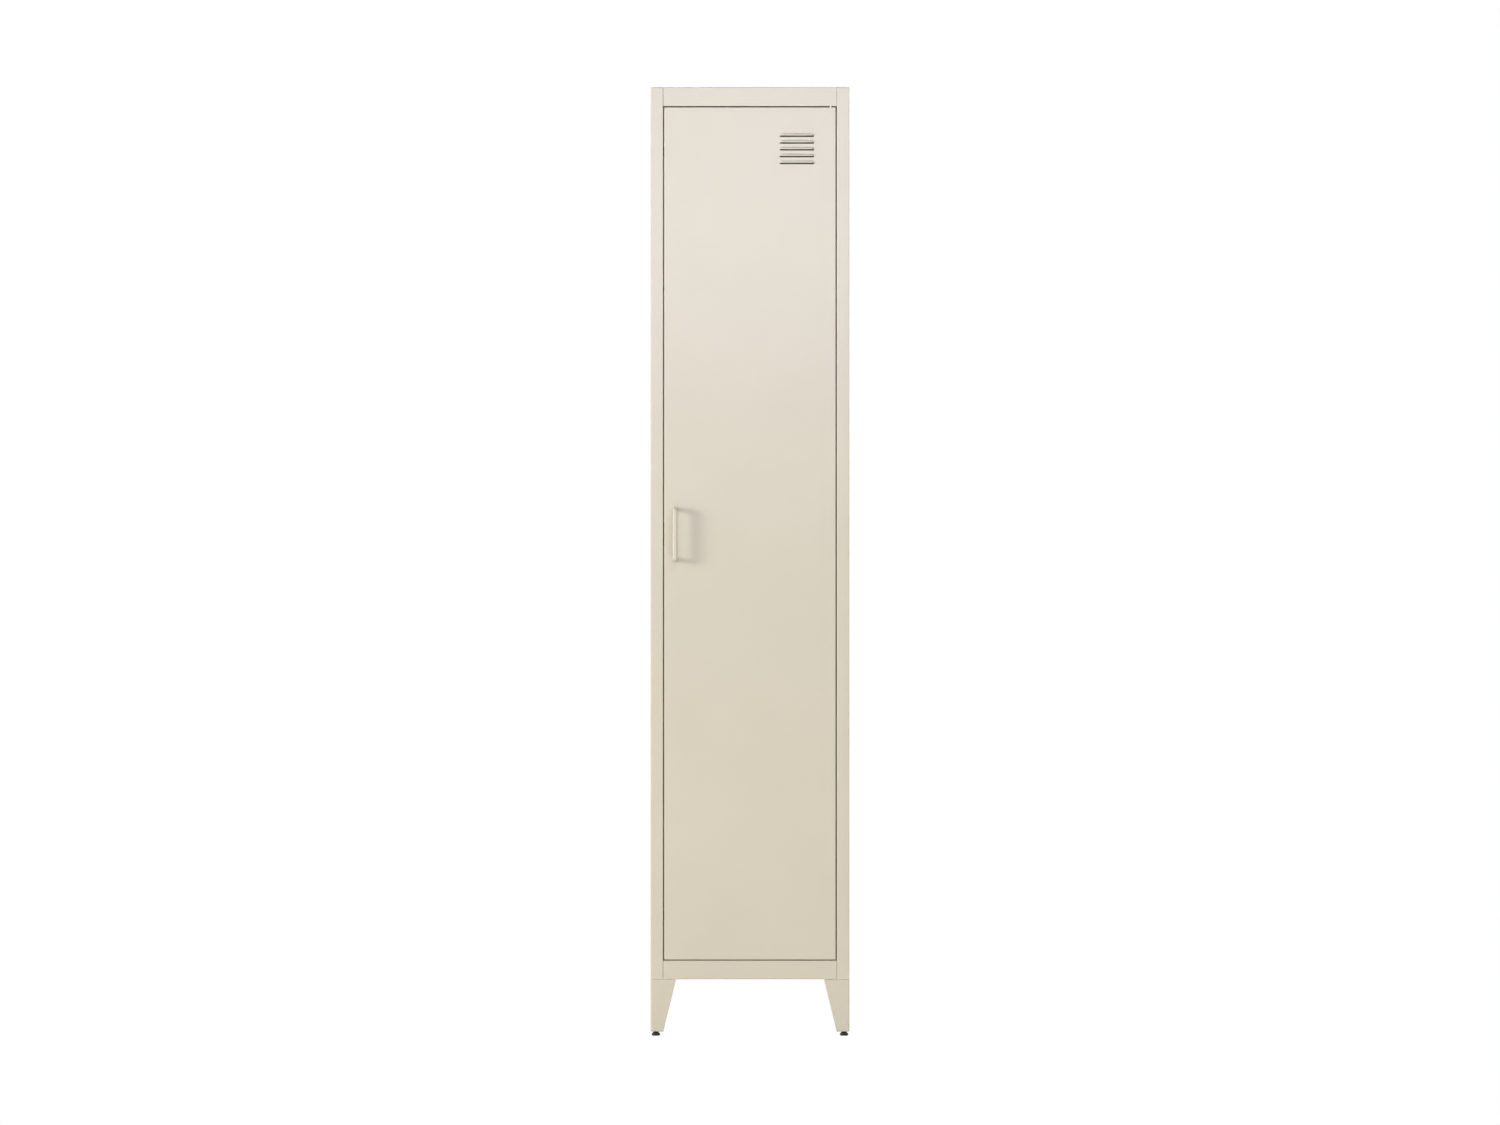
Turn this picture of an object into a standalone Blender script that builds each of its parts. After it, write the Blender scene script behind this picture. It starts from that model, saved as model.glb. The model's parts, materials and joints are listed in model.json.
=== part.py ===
"""A tall one-door steel locker on four legs, as separate sheet-metal parts, fittings and moving pieces.

Metres, +Z up. The front faces -Y. X = 0 is the middle of the width, Y = 0 the middle of the depth with
the handle, and Z = 0 the floor that the levelling feet stand on.
"""

from math import cos, pi, radians, sin, sqrt

import bmesh
import bpy
from mathutils import Matrix, Vector

MM = 0.001
X, Y, Z = Vector((1, 0, 0)), Vector((0, 1, 0)), Vector((0, 0, 1))

# Overall sizes
WIDTH = 380 * MM
BODY_DEPTH = 450 * MM
HEIGHT = 1813 * MM
LEG_TOP = 108 * MM
LEG_BOTTOM = 8 * MM
HANDLE_REACH = 28 * MM
HALF_WIDTH = WIDTH / 2
FRONT = HANDLE_REACH / 2 - BODY_DEPTH / 2
BACK = FRONT + BODY_DEPTH

# Sheet metal
SHEET = 0.8 * MM
BEND = 1.6 * MM
BEND_STEPS = 3
GAP = 0.3 * MM
WALL_INNER = HALF_WIDTH - SHEET

# Frame round the door opening
POST_WIDTH = 24.1 * MM
POST_DEPTH = 36 * MM
POST_LIP = 12 * MM
TOP_RAIL = 36.4 * MM
BOTTOM_RAIL = 35.8 * MM
RAIL_UPSTAND = 8 * MM
REAR_FLANGE = 15 * MM
PANEL_FLANGE = 25 * MM
OPENING_HALF = HALF_WIDTH - POST_WIDTH
CEILING = HEIGHT - TOP_RAIL
FLOOR = LEG_TOP + BOTTOM_RAIL
BEHIND_POSTS = FRONT + POST_DEPTH

# Door
DOOR_HALF = 164 * MM
DOOR_TOP = 1774.6 * MM
DOOR_BOTTOM = 145.3 * MM
DOOR_DEPTH = 18 * MM
DOOR_LIP = 14 * MM
DOOR_BACK = FRONT + DOOR_DEPTH
HINGE_X = 154.7 * MM
HINGE_Y = FRONT + 5.2 * MM
PIN_RADIUS = 2.0 * MM
PIN_HOLE = PIN_RADIUS + GAP
BUSH_BARREL = 3.0 * MM
BUSH_COLLAR = 3.8 * MM
BUSH_HOLE = BUSH_BARREL + GAP
GLIDE_LEFT = -160.2 * MM
GLIDE_WIDTH = 5 * MM
GLIDE_LENGTH = 9 * MM

# Sprung upper hinge pin
BRACKET_TOP = DOOR_TOP - SHEET - 1.8 * MM
BRACKET_HEIGHT = 34 * MM
BRACKET_SHEET = 1.5 * MM
COLLAR_TOP = BRACKET_TOP - BRACKET_SHEET - GAP
COLLAR_HEIGHT = 1.7 * MM
SPRING_TOP = COLLAR_TOP - COLLAR_HEIGHT - GAP
SPRING_BOTTOM = BRACKET_TOP - BRACKET_HEIGHT + BRACKET_SHEET + GAP

# Louvres, pressed out of the door
LOUVRE_COUNT = 5
LOUVRE_PITCH = 13 * MM
LOUVRE_LEFT = 57.2 * MM
LOUVRE_WIDTH = 65 * MM
LOUVRE_HEIGHT = 7.1 * MM
LOUVRE_SLOT = 2.6 * MM
LOUVRE_HOOD = LOUVRE_HEIGHT - LOUVRE_SLOT
LOUVRE_DEPTH = 3.6 * MM
LOUVRE_END = 9 * MM
LOWEST_CUT = 1666 * MM

# Catch and stops on the left post
CATCH_HEIGHT = 46 * MM
CATCH_WIDTH = 14 * MM
UPPER_STOP = 1690 * MM
LOWER_STOP = 230 * MM

# Handle
HANDLE_X = -143.3 * MM
HANDLE_Z = 958 * MM
HANDLE_CENTRES = 96 * MM
HANDLE_BAR = 9 * MM
HANDLE_BEND = 6 * MM
SCREW_RADIUS = 2.0 * MM

# Shelves and rail
UPPER_SHELF = 1500 * MM
LOWER_SHELF = 420 * MM
SHELF_FLANGE = 20 * MM
SHELF_LIP = 8 * MM
SHELF_FRONT = BEHIND_POSTS + 4 * MM
SHELF_BACK = BACK - 4 * MM
SHELF_HALF = WALL_INNER - 2 * GAP
CLIP_FRONT = -120 * MM
CLIP_REAR = 180 * MM
CLIP_WIDTH = 10 * MM
CLIP_STEP = 60 * MM
SLOT_DROP = 5 * MM
RAIL_Y = 22 * MM
RAIL_Z = 1435 * MM
RAIL_RADIUS = 11 * MM

# Legs and feet
LEG_SHEET = 1.5 * MM
LEG_BEND = 2.4 * MM
LEG_TOP_WIDTH = 48.2 * MM
LEG_FOOT_WIDTH = 24.9 * MM
FOOT_INSET = 10.2 * MM
BOLT_FROM_SIDE = 37 * MM
BOLT_FROM_FRONT = 18 * MM
STUD_RADIUS = 3.9 * MM
BOLT_RADIUS = 2.9 * MM

# Colour, roughness and metallic value of each finish
FINISHES = {
    "paint": ((0.70, 0.65, 0.54, 1.0), 0.42, 0.0),
    "steel": ((0.62, 0.62, 0.60, 1.0), 0.32, 1.0),
    "spring_steel": ((0.42, 0.42, 0.43, 1.0), 0.3, 1.0),
    "nylon": ((0.03, 0.03, 0.032, 1.0), 0.5, 0.0),
    "rubber": ((0.025, 0.025, 0.025, 1.0), 0.8, 0.0),
    "magnet": ((0.1, 0.1, 0.1, 1.0), 0.6, 0.2),
}


# Scene helpers


def clear_scene():
    for item in list(bpy.data.objects):
        bpy.data.objects.remove(item, do_unlink=True)


def add_object(name, bm, finish, place=(0, 0, 0)):
    """Make the mesh a named object with a material of its own."""
    mesh = bpy.data.meshes.new(name)
    bm.to_mesh(mesh)
    bm.free()
    item = bpy.data.objects.new(name, mesh)
    item.location = place
    bpy.context.scene.collection.objects.link(item)
    colour, roughness, metallic = FINISHES[finish]
    material = bpy.data.materials.new(name)
    material.use_nodes = True
    shader = material.node_tree.nodes["Principled BSDF"]
    shader.inputs["Base Color"].default_value = colour
    shader.inputs["Roughness"].default_value = roughness
    shader.inputs["Metallic"].default_value = metallic
    mesh.materials.append(material)
    return item


def add_solid(name, bm, finish, place=(0, 0, 0), smooth=True):
    """Add a closed mesh, turned the right way out."""
    bmesh.ops.recalc_face_normals(bm, faces=bm.faces)
    item = add_object(name, bm, finish, place)
    if smooth:
        item.data.shade_smooth()
        item.data.set_sharp_from_angle(angle=radians(35))
    return item


def add_sheet(name, bm, finish, skin, thickness=SHEET):
    """Thicken a skin inwards. The skin's first face looks along the direction given."""
    bm.faces.ensure_lookup_table()
    bmesh.ops.recalc_face_normals(bm, faces=bm.faces)
    if bm.faces[0].normal.dot(skin) < 0:
        bmesh.ops.reverse_faces(bm, faces=bm.faces)
    item = add_object(name, bm, finish)
    item.data.shade_smooth()
    item.data.set_sharp_from_angle(angle=radians(35))
    solidify = item.modifiers.new("thickness", "SOLIDIFY")
    solidify.thickness = thickness
    solidify.offset = -1
    solidify.use_even_offset = True
    return item


def cut(item, cutter):
    """Take the cutter's shape out of the object."""
    cutter.hide_render = True
    cutter.display_type = "WIRE"
    boolean = item.modifiers.new(cutter.name, "BOOLEAN")
    boolean.operation = "DIFFERENCE"
    boolean.solver = "EXACT"
    boolean.object = cutter


def hang_on(items, axis_empty):
    """Parent the objects to the empty without moving them."""
    for item in items:
        item.parent = axis_empty
        item.matrix_parent_inverse = Matrix.Translation(axis_empty.location).inverted()


# Shapes


def circle(radius, sides=16):
    turns = [2 * pi * i / sides for i in range(sides)]
    return [Vector((cos(turn), sin(turn), 0)) * radius for turn in turns]


def hexagon(flats, sides=12):
    """A hexagon with the distance given across its flats, with points at equal angles."""
    outline = []
    for i in range(sides):
        angle = 2 * pi * i / sides
        off_flat = (angle + pi / 6) % (pi / 3) - pi / 6
        outline.append(Vector((cos(angle), sin(angle), 0)) * (flats / 2 / cos(off_flat)))
    return outline


def bridge(bm, ring, next_ring):
    """Join two rings with the same number of points."""
    count = len(ring)
    for i in range(count):
        j = (i + 1) % count
        bm.faces.new((ring[i], ring[j], next_ring[j], next_ring[i]))


def stack(bm, levels, closed=False, turn=Matrix()):
    """Loft outlines at their heights. Closed joins the last to the first, which leaves a hole."""
    rings = []
    for outline, height in levels:
        rings.append([bm.verts.new(turn @ (point + Z * height)) for point in outline])
    for ring, next_ring in zip(rings, rings[1:]):
        bridge(bm, ring, next_ring)
    if closed:
        bridge(bm, rings[-1], rings[0])
    else:
        bm.faces.new(rings[0])
        bm.faces.new(rings[-1])


def turned(levels, sides=16, closed=False, turn=Matrix()):
    """A lathe-turned shape from (radius, height) pairs."""
    bm = bmesh.new()
    stack(bm, [(circle(radius, sides), height) for radius, height in levels], closed, turn)
    return bm


def block(bm, low, high):
    """A rectangular block between two corners."""
    size = Vector(high) - Vector(low)
    middle = (Vector(high) + Vector(low)) / 2
    bmesh.ops.create_cube(bm, size=1, matrix=Matrix.Translation(middle) @ Matrix.Diagonal((*size, 1)))


def tube(bm, points, outlines, side=Y):
    """Sweep an outline along a path without twist. The outline's own X starts out along side."""
    count = len(points)
    rings = []
    for i, (point, outline) in enumerate(zip(points, outlines)):
        before = points[max(i - 1, 0)]
        after = points[min(i + 1, count - 1)]
        along = (after - before).normalized()
        side = (side - along * side.dot(along)).normalized()
        up = along.cross(side)
        rings.append([bm.verts.new(point + side * spot.x + up * spot.y) for spot in outline])
    for ring, next_ring in zip(rings, rings[1:]):
        bridge(bm, ring, next_ring)
    bm.faces.new(rings[0])
    bm.faces.new(rings[-1])


def arc(centre, start, end, steps):
    """Points on a quarter circle about the centre, from centre + start to centre + end."""
    turns = [pi / 2 * i / steps for i in range(steps + 1)]
    return [centre + start * cos(turn) + end * sin(turn) for turn in turns]


# Folded sheet


def face_through(bm, places):
    """A flat face through the places given, and its corner points."""
    points = [bm.verts.new(place) for place in places]
    bm.faces.new(points)
    return points


def strip(bm, row, offsets, closed=False):
    """Grow a strip of faces from a row of points, and return the new row."""
    new_row = [bm.verts.new(point.co + offset) for point, offset in zip(row, offsets)]
    pairs = list(zip(row, row[1:], new_row[1:], new_row))
    if closed:
        pairs.append((row[-1], row[0], new_row[0], new_row[-1]))
    for corners in pairs:
        bm.faces.new(corners)
    return new_row


def fold(bm, row, outward, inward, run, radius=BEND, closed=False):
    """Bend a flange through a right angle along a row of points, and return its free edge.

    outward points off the sheet in its own plane, and is one direction or one for each point. inward is
    the side that the flange turns to, and run is the flat length after the bend.
    """
    if isinstance(outward, Vector):
        outward = [outward] * len(row)
    done = (0, 0)
    for step in range(1, BEND_STEPS + 1):
        turn = pi / 2 * step / BEND_STEPS
        out, down = radius * sin(turn), radius * (1 - cos(turn))
        offsets = [way * (out - done[0]) + inward * (down - done[1]) for way in outward]
        row = strip(bm, row, offsets, closed)
        done = (out, down)
    return strip(bm, row, [inward * run] * len(row), closed)


def lip(bm, row, inward_ways, run, back, radius=BEND):
    """Bend a closed flange's free edge in under itself, with mitred corners."""
    done = (0, 0)
    for step in range(1, BEND_STEPS + 1):
        turn = pi / 2 * step / BEND_STEPS
        out, down = radius * sin(turn), radius * (1 - cos(turn))
        offsets = [back * (out - done[0]) + way * (down - done[1]) for way in inward_ways]
        row = strip(bm, row, offsets, closed=True)
        done = (out, down)
    return strip(bm, row, [way * run for way in inward_ways], closed=True)


# Carcass


def side_panel(name, side):
    """A side wall with its front edge folded into a box post and its rear edge into a flange."""
    bm = bmesh.new()
    wall_x = side * HALF_WIDTH
    low, high = LEG_TOP, HEIGHT - SHEET - GAP
    front, rear = FRONT + BEND, BACK - BEND
    corners = [(wall_x, front, low), (wall_x, front, high), (wall_x, rear, high), (wall_x, rear, low)]
    points = face_through(bm, corners)
    inside = X * -side
    row = fold(bm, points[:2], -Y, inside, POST_WIDTH - 2 * BEND)
    row = fold(bm, row, inside, Y, POST_DEPTH - 2 * BEND)
    fold(bm, row, Y, -inside, POST_LIP)
    fold(bm, points[2:], Y, inside, REAR_FLANGE - BEND)
    panel = add_sheet(name, bm, "paint", X * side)
    cut(panel, clip_slots(name + "_slots", side))
    return panel


def clip_heights():
    """The heights at which shelf clips can be hooked in: both shelves' own, and one step each way."""
    shelves = (LOWER_SHELF, UPPER_SHELF)
    return [shelf - SHELF_FLANGE + CLIP_STEP * step for shelf in shelves for step in (-1, 0, 1)]


def clip_slots(name, side):
    """Cutter for the slots in a side wall, which are a little larger than the clips' tongues."""
    bm = bmesh.new()
    half_length, half_height, reach = CLIP_WIDTH / 2 + GAP, 1.6 * MM, 3 * MM
    for clip_y in (CLIP_FRONT, CLIP_REAR):
        for height in clip_heights():
            slot_z = height - SLOT_DROP
            low = (side * HALF_WIDTH - reach, clip_y - half_length, slot_z - half_height)
            high = (side * HALF_WIDTH + reach, clip_y + half_length, slot_z + half_height)
            block(bm, low, high)
    return add_solid(name, bm, "paint", smooth=False)


def panel_corners(level, back, over_posts):
    """The outline of the top or bottom sheet. It reaches over the posts or stops between them."""
    side = WALL_INNER - GAP - BEND
    rail = OPENING_HALF - GAP
    ear = WALL_INNER - GAP if over_posts else rail
    front, behind = FRONT + BEND, BEHIND_POSTS + GAP
    rear, relief = back - BEND, 2 * BEND
    half = [(rail, front)] + ([(ear, front)] if over_posts else [])
    half += [(ear, behind), (side, behind), (side, rear), (side - relief, rear)]
    right = [Vector((x, y, level)) for x, y in half]
    left = [Vector((-x, y, level)) for x, y in reversed(half)]
    return right + left


def end_panel(name, level, rail_height, side_run, is_floor):
    """The top or bottom panel: a sheet with the rail folded down in front and flanges on its other sides."""
    bm = bmesh.new()
    back = BACK - 2 * SHEET - 2 * GAP
    points = face_through(bm, panel_corners(level, back, not is_floor))
    count = len(points)
    right, right_rear, left_rear, left = count // 2 - 3, count // 2 - 1, count // 2, count // 2 + 1
    row = fold(bm, [points[0], points[-1]], -Y, -Z, rail_height - 2 * BEND)
    row = fold(bm, row, -Z, Y, POST_DEPTH - 2 * BEND)
    fold(bm, row, Y, Z, RAIL_UPSTAND)
    fold(bm, points[right : right + 2], X, -Z, side_run)
    fold(bm, points[left : left + 2], -X, -Z, side_run)
    if is_floor:
        row = fold(bm, [points[right_rear], points[left_rear]], Y, -Z, rail_height - 2 * BEND)
        fold(bm, row, -Z, -Y, POST_DEPTH - BEND)
    else:
        fold(bm, [points[right_rear], points[left_rear]], Y, -Z, side_run)
    return add_sheet(name, bm, "paint", Z)


def top_panel():
    panel = end_panel("top_panel", HEIGHT, TOP_RAIL, PANEL_FLANGE - BEND, is_floor=False)
    hole = turned([(BUSH_HOLE, -4 * MM), (BUSH_HOLE, 4 * MM)])
    cut(panel, add_solid("top_bush_hole", hole, "paint", (HINGE_X, HINGE_Y, CEILING)))
    return panel


def bottom_panel():
    panel = end_panel("bottom_panel", FLOOR, BOTTOM_RAIL, BOTTOM_RAIL - 6 * MM, is_floor=True)
    hole = turned([(BUSH_HOLE, -4 * MM), (BUSH_HOLE, 4 * MM)])
    cut(panel, add_solid("bottom_bush_hole", hole, "paint", (HINGE_X, HINGE_Y, FLOOR)))
    for name, place in leg_corners():
        spot = corner_point(place, BOLT_FROM_SIDE, BOLT_FROM_FRONT, LEG_TOP)
        hole = turned([(BOLT_RADIUS + 2 * GAP, -3 * MM), (BOLT_RADIUS + 2 * GAP, 3 * MM)], 12)
        cut(panel, add_solid("lip_hole_" + name, hole, "paint", spot))
    return panel


def back_panel():
    """A flat sheet held inside the rear flanges."""
    bm = bmesh.new()
    face_y = BACK - SHEET - GAP
    half = WALL_INNER - GAP
    low, high = LEG_TOP + GAP, HEIGHT - SHEET - 2 * GAP
    face_through(bm, [(-half, face_y, low), (half, face_y, low), (half, face_y, high), (-half, face_y, high)])
    return add_sheet("back_panel", bm, "paint", Y)


def shelf(name, level):
    """A tray with its edges folded down and in."""
    bm = bmesh.new()
    half = SHELF_HALF - BEND
    front, rear = SHELF_FRONT + BEND, SHELF_BACK - BEND
    ways = [-X - Y, X - Y, X + Y, -X + Y]
    corners = [(-half, front), (half, front), (half, rear), (-half, rear)]
    row = face_through(bm, [(x, y, level) for x, y in corners])
    row = fold(bm, row, ways, -Z, SHELF_FLANGE - 2 * BEND, closed=True)
    lip(bm, row, [-way for way in ways], SHELF_LIP - BEND, -Z)
    return add_sheet(name, bm, "paint", Z)


def shelf_clip(name, side, clip_y, level):
    """An angle that hooks into a wall slot and carries the shelf's flange."""
    thick, tongue = 1.5 * MM, SHEET + GAP - 0.1 * MM
    outline = [(0, -13), (-1.5, -13), (-1.5, -1.5), (-14, -1.5), (-14, 0), (0, 0)]
    outline = [(x * MM, z * MM) for x, z in outline]
    outline += [(0, -4 * MM), (tongue, -4 * MM), (tongue, -4.5 * MM - thick / 3), (0, -4.5 * MM - thick / 3)]
    bm = bmesh.new()
    near = [bm.verts.new((side * x, -CLIP_WIDTH / 2, z)) for x, z in outline]
    far = [bm.verts.new((side * x, CLIP_WIDTH / 2, z)) for x, z in outline]
    bridge(bm, near, far)
    bm.faces.new(near)
    bm.faces.new(far)
    place = (side * (WALL_INNER - GAP), clip_y, level - SHELF_FLANGE - GAP)
    return add_solid(name, bm, "steel", place, smooth=False)


def rail_socket(name, side):
    """A cup that holds one end of the hanging rail, on the side wall."""
    flange, cup, bore = 16 * MM, 13.5 * MM, RAIL_RADIUS + GAP
    base, length = 2 * MM, 13 * MM
    levels = [(flange, 0), (flange, base), (cup, base), (cup, length), (bore, length), (bore, base)]
    bm = turned(levels, 20, turn=Matrix.Rotation(-side * pi / 2, 4, "Y"))
    return add_solid(name, bm, "steel", (side * (WALL_INNER - GAP), RAIL_Y, RAIL_Z))


def hanging_rail():
    """The steel tube that clothes hang from."""
    half = WALL_INNER - GAP - 2.6 * MM
    inner = RAIL_RADIUS - 1.2 * MM
    levels = [(RAIL_RADIUS, -half), (RAIL_RADIUS, half), (inner, half), (inner, -half)]
    bm = turned(levels, 24, closed=True, turn=Matrix.Rotation(pi / 2, 4, "Y"))
    return add_solid("hanging_rail", bm, "steel", (0, RAIL_Y, RAIL_Z))


def catch_parts():
    """The magnetic catch on the inner face of the left post, behind the door's edge."""
    post_face = -OPENING_HALF + GAP
    front = DOOR_BACK + 2.6 * MM
    housing, magnet = bmesh.new(), bmesh.new()
    half, rim = CATCH_HEIGHT / 2, 2 * MM
    low = (post_face, front, HANDLE_Z - half)
    high = (post_face + CATCH_WIDTH, front + 13 * MM, HANDLE_Z + half)
    block(housing, low, high)
    low = (post_face + rim, DOOR_BACK + GAP, HANDLE_Z - half + 5 * MM)
    high = (post_face + CATCH_WIDTH - rim, front - GAP, HANDLE_Z + half - 5 * MM)
    block(magnet, low, high)
    add_solid("catch_housing", housing, "nylon", smooth=False)
    add_solid("catch_magnet", magnet, "magnet", smooth=False)


def door_stop(name, height):
    """A rubber block on the left post that the door closes against."""
    post_face = -OPENING_HALF + GAP
    bm = bmesh.new()
    front = DOOR_BACK + GAP
    block(bm, (post_face, front, height - 9 * MM), (post_face + 10 * MM, front + 9 * MM, height + 9 * MM))
    return add_solid(name, bm, "rubber", smooth=False)


def hinge_bushes():
    """Nylon bushes for the pins: one from above in the top rail's lip, one in the floor sheet."""
    above_lip = SHEET + GAP
    for name, height, low, step, high in (
        ("hinge_bush_upper", CEILING, 0.1 * MM, above_lip, above_lip + 1.5 * MM),
        ("hinge_bush_lower", FLOOR, -3 * MM, GAP, 1.2 * MM),
    ):
        outside = [(PIN_HOLE, low), (BUSH_BARREL, low), (BUSH_BARREL, step), (BUSH_COLLAR, step)]
        bm = turned(outside + [(BUSH_COLLAR, high), (PIN_HOLE, high)], closed=True)
        add_solid(name, bm, "nylon", (HINGE_X, HINGE_Y, height))


def door_glide():
    """A low nylon strip that the closed door's free corner rests over."""
    bm = bmesh.new()
    low = (GLIDE_LEFT, FRONT + 3 * MM, FLOOR + GAP)
    high = (GLIDE_LEFT + GLIDE_WIDTH, FRONT + 3 * MM + GLIDE_LENGTH, DOOR_BOTTOM - GAP)
    block(bm, low, high)
    return add_solid("door_glide", bm, "nylon", smooth=False)


# Legs and feet


def leg_corners():
    """Each corner's name, with its side and its end: -1 is left and front, 1 is right and rear."""
    sides = (("left", -1), ("right", 1))
    ends = (("front", -1), ("rear", 1))
    return [(f"{end_name}_{side_name}", (side, end)) for end_name, end in ends for side_name, side in sides]


def corner_point(corner, from_side, from_end, height):
    """A point given by its distances in from the corner's two outer faces."""
    side, end = corner
    face = FRONT if end < 0 else BACK
    return Vector((side * (HALF_WIDTH - from_side), face - end * from_end, height))


def leg(name, corner):
    """A tapered angle with a plate to bolt to the body and one to carry the foot."""
    side, end = corner
    inside, inward = X * -side, Y * -end
    low, high = LEG_BOTTOM + LEG_BEND, LEG_TOP - GAP - LEG_BEND
    bm = bmesh.new()
    outline = [(LEG_BEND, low), (LEG_FOOT_WIDTH, low), (LEG_TOP_WIDTH, high), (LEG_BEND, high)]
    points = face_through(bm, [corner_point(corner, u, 0, z) for u, z in outline])
    fold(bm, [points[3], points[2]], Z, inward, LEG_TOP_WIDTH - 2 * LEG_BEND, LEG_BEND)
    fold(bm, [points[0], points[1]], -Z, inward, LEG_FOOT_WIDTH - 2 * LEG_BEND, LEG_BEND)
    row = strip(bm, [points[0], points[3]], leg_corner_offsets(1, inside, inward))
    for step in range(2, BEND_STEPS + 1):
        row = strip(bm, row, leg_corner_offsets(step, inside, inward))
    strip(bm, row, [inward * (LEG_FOOT_WIDTH - LEG_BEND), inward * (LEG_TOP_WIDTH - LEG_BEND)])
    item = add_sheet(name, bm, "paint", -inward, LEG_SHEET)
    bolt_hole = turned([(BOLT_RADIUS + 2 * GAP, -5 * MM), (BOLT_RADIUS + 2 * GAP, 3 * MM)], 12)
    bolt_spot = corner_point(corner, BOLT_FROM_SIDE, BOLT_FROM_FRONT, LEG_TOP)
    cut(item, add_solid(name + "_bolt_hole", bolt_hole, "paint", bolt_spot))
    stud_hole = turned([(STUD_RADIUS + 2 * GAP, -3 * MM), (STUD_RADIUS + 2 * GAP, 5 * MM)])
    stud_spot = corner_point(corner, FOOT_INSET, FOOT_INSET, LEG_BOTTOM)
    cut(item, add_solid(name + "_stud_hole", stud_hole, "paint", stud_spot))
    return item


def leg_corner_offsets(step, inside, inward):
    """The move of the corner bend's lower and upper points. The first step also reaches full height."""
    turns = [pi / 2 * (step - back) / BEND_STEPS for back in (1, 0)]
    out = LEG_BEND * (sin(turns[1]) - sin(turns[0]))
    down = LEG_BEND * (cos(turns[0]) - cos(turns[1]))
    move = -inside * out + inward * down
    rise = Z * (LEG_BEND if step == 1 else 0)
    return [move - rise, move + rise]


def leg_fixings(name, corner):
    """The bolt and nut between leg and body, and the nut welded on the foot plate."""
    spot = corner_point(corner, BOLT_FROM_SIDE, BOLT_FROM_FRONT, 0)
    head, shank = hexagon(10 * MM), circle(BOLT_RADIUS, 12)
    under_plate = LEG_TOP - 2 * GAP - LEG_SHEET
    bm = bmesh.new()
    levels = [(head, under_plate - 4 * MM), (head, under_plate)]
    levels += [(shank, under_plate), (shank, LEG_TOP + 10 * MM)]
    stack(bm, levels)
    add_solid("leg_bolt_" + name, bm, "steel", spot)
    nut("leg_nut_" + name, spot + Z * (LEG_TOP + SHEET + GAP), 10 * MM, BOLT_RADIUS, 5 * MM)
    spot = corner_point(corner, FOOT_INSET, FOOT_INSET, LEG_BOTTOM + LEG_SHEET + GAP)
    nut("foot_nut_" + name, spot, 12.6 * MM, STUD_RADIUS, 6 * MM)


def nut(name, place, flats, thread_radius, height):
    """A hexagon nut standing on the point given."""
    outside, bore = hexagon(flats), circle(thread_radius + GAP, 12)
    bm = bmesh.new()
    stack(bm, [(outside, 0), (outside, height), (bore, height), (bore, 0)], closed=True)
    add_solid(name, bm, "steel", place)


def foot(name, corner):
    """A levelling foot: a moulded pad on a threaded stud. Both have their origin on the stud's axis."""
    spot = corner_point(corner, FOOT_INSET, FOOT_INSET, 0)
    pad = [(5.5, 0), (7.2, 0.9), (8, 3.2), (7.7, 4.8), (5.6, 6.6), (5.5, 7.7), (4.2, 7.7), (4.2, 3.4)]
    add_solid("foot_pad_" + name, turned([(r * MM, z * MM) for r, z in pad], 20), "nylon", spot)
    stud = [(3.2, 3.7), (3.9, 4.4), (3.9, 43.3), (3.2, 44)]
    add_solid("foot_stud_" + name, turned([(r * MM, z * MM) for r, z in stud], 12), "steel", spot)


# Door


def louvre_rise(across, down):
    """How far the louvre's skin stands out, from its place across the louvre and down from the crease."""
    from_end = min(across, LOUVRE_WIDTH - across)
    end_share = min(from_end / LOUVRE_END, 1)
    down_share = min(down / LOUVRE_HOOD, 1)
    end_form = sqrt(1 - (1 - end_share) ** 2)
    section = 0.8 * sqrt(1 - (1 - down_share) ** 2) + 0.2 * down_share
    return LOUVRE_DEPTH * end_form * section


def louvre_stations():
    """Places across a louvre, closer together on its rounded ends."""
    ends = [LOUVRE_END * (1 - cos(pi / 2 * i / 4)) for i in range(5)]
    return ends + [LOUVRE_WIDTH - place for place in reversed(ends)]


def louvre(bm, cut_height, rows=4):
    """One hood over its slot. Returns the top row, both sides down to the slot's lower edge, and that edge."""
    across = louvre_stations()
    crease = cut_height + LOUVRE_HEIGHT
    grid = []
    for j in range(rows + 1):
        down = LOUVRE_HOOD * (1 - cos(pi / 2 * j / rows))
        places = [(LOUVRE_LEFT + x, FRONT - louvre_rise(x, down), crease - down) for x in across]
        grid.append([bm.verts.new(place) for place in places])
    for row, next_row in zip(grid, grid[1:]):
        for i in range(len(across) - 1):
            bm.faces.new((row[i], row[i + 1], next_row[i + 1], next_row[i]))
    lower = [bm.verts.new((LOUVRE_LEFT + x, FRONT, cut_height)) for x in (0, LOUVRE_WIDTH)]
    return grid[0], [row[0] for row in grid] + lower[:1], [row[-1] for row in grid] + lower[1:], lower


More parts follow.
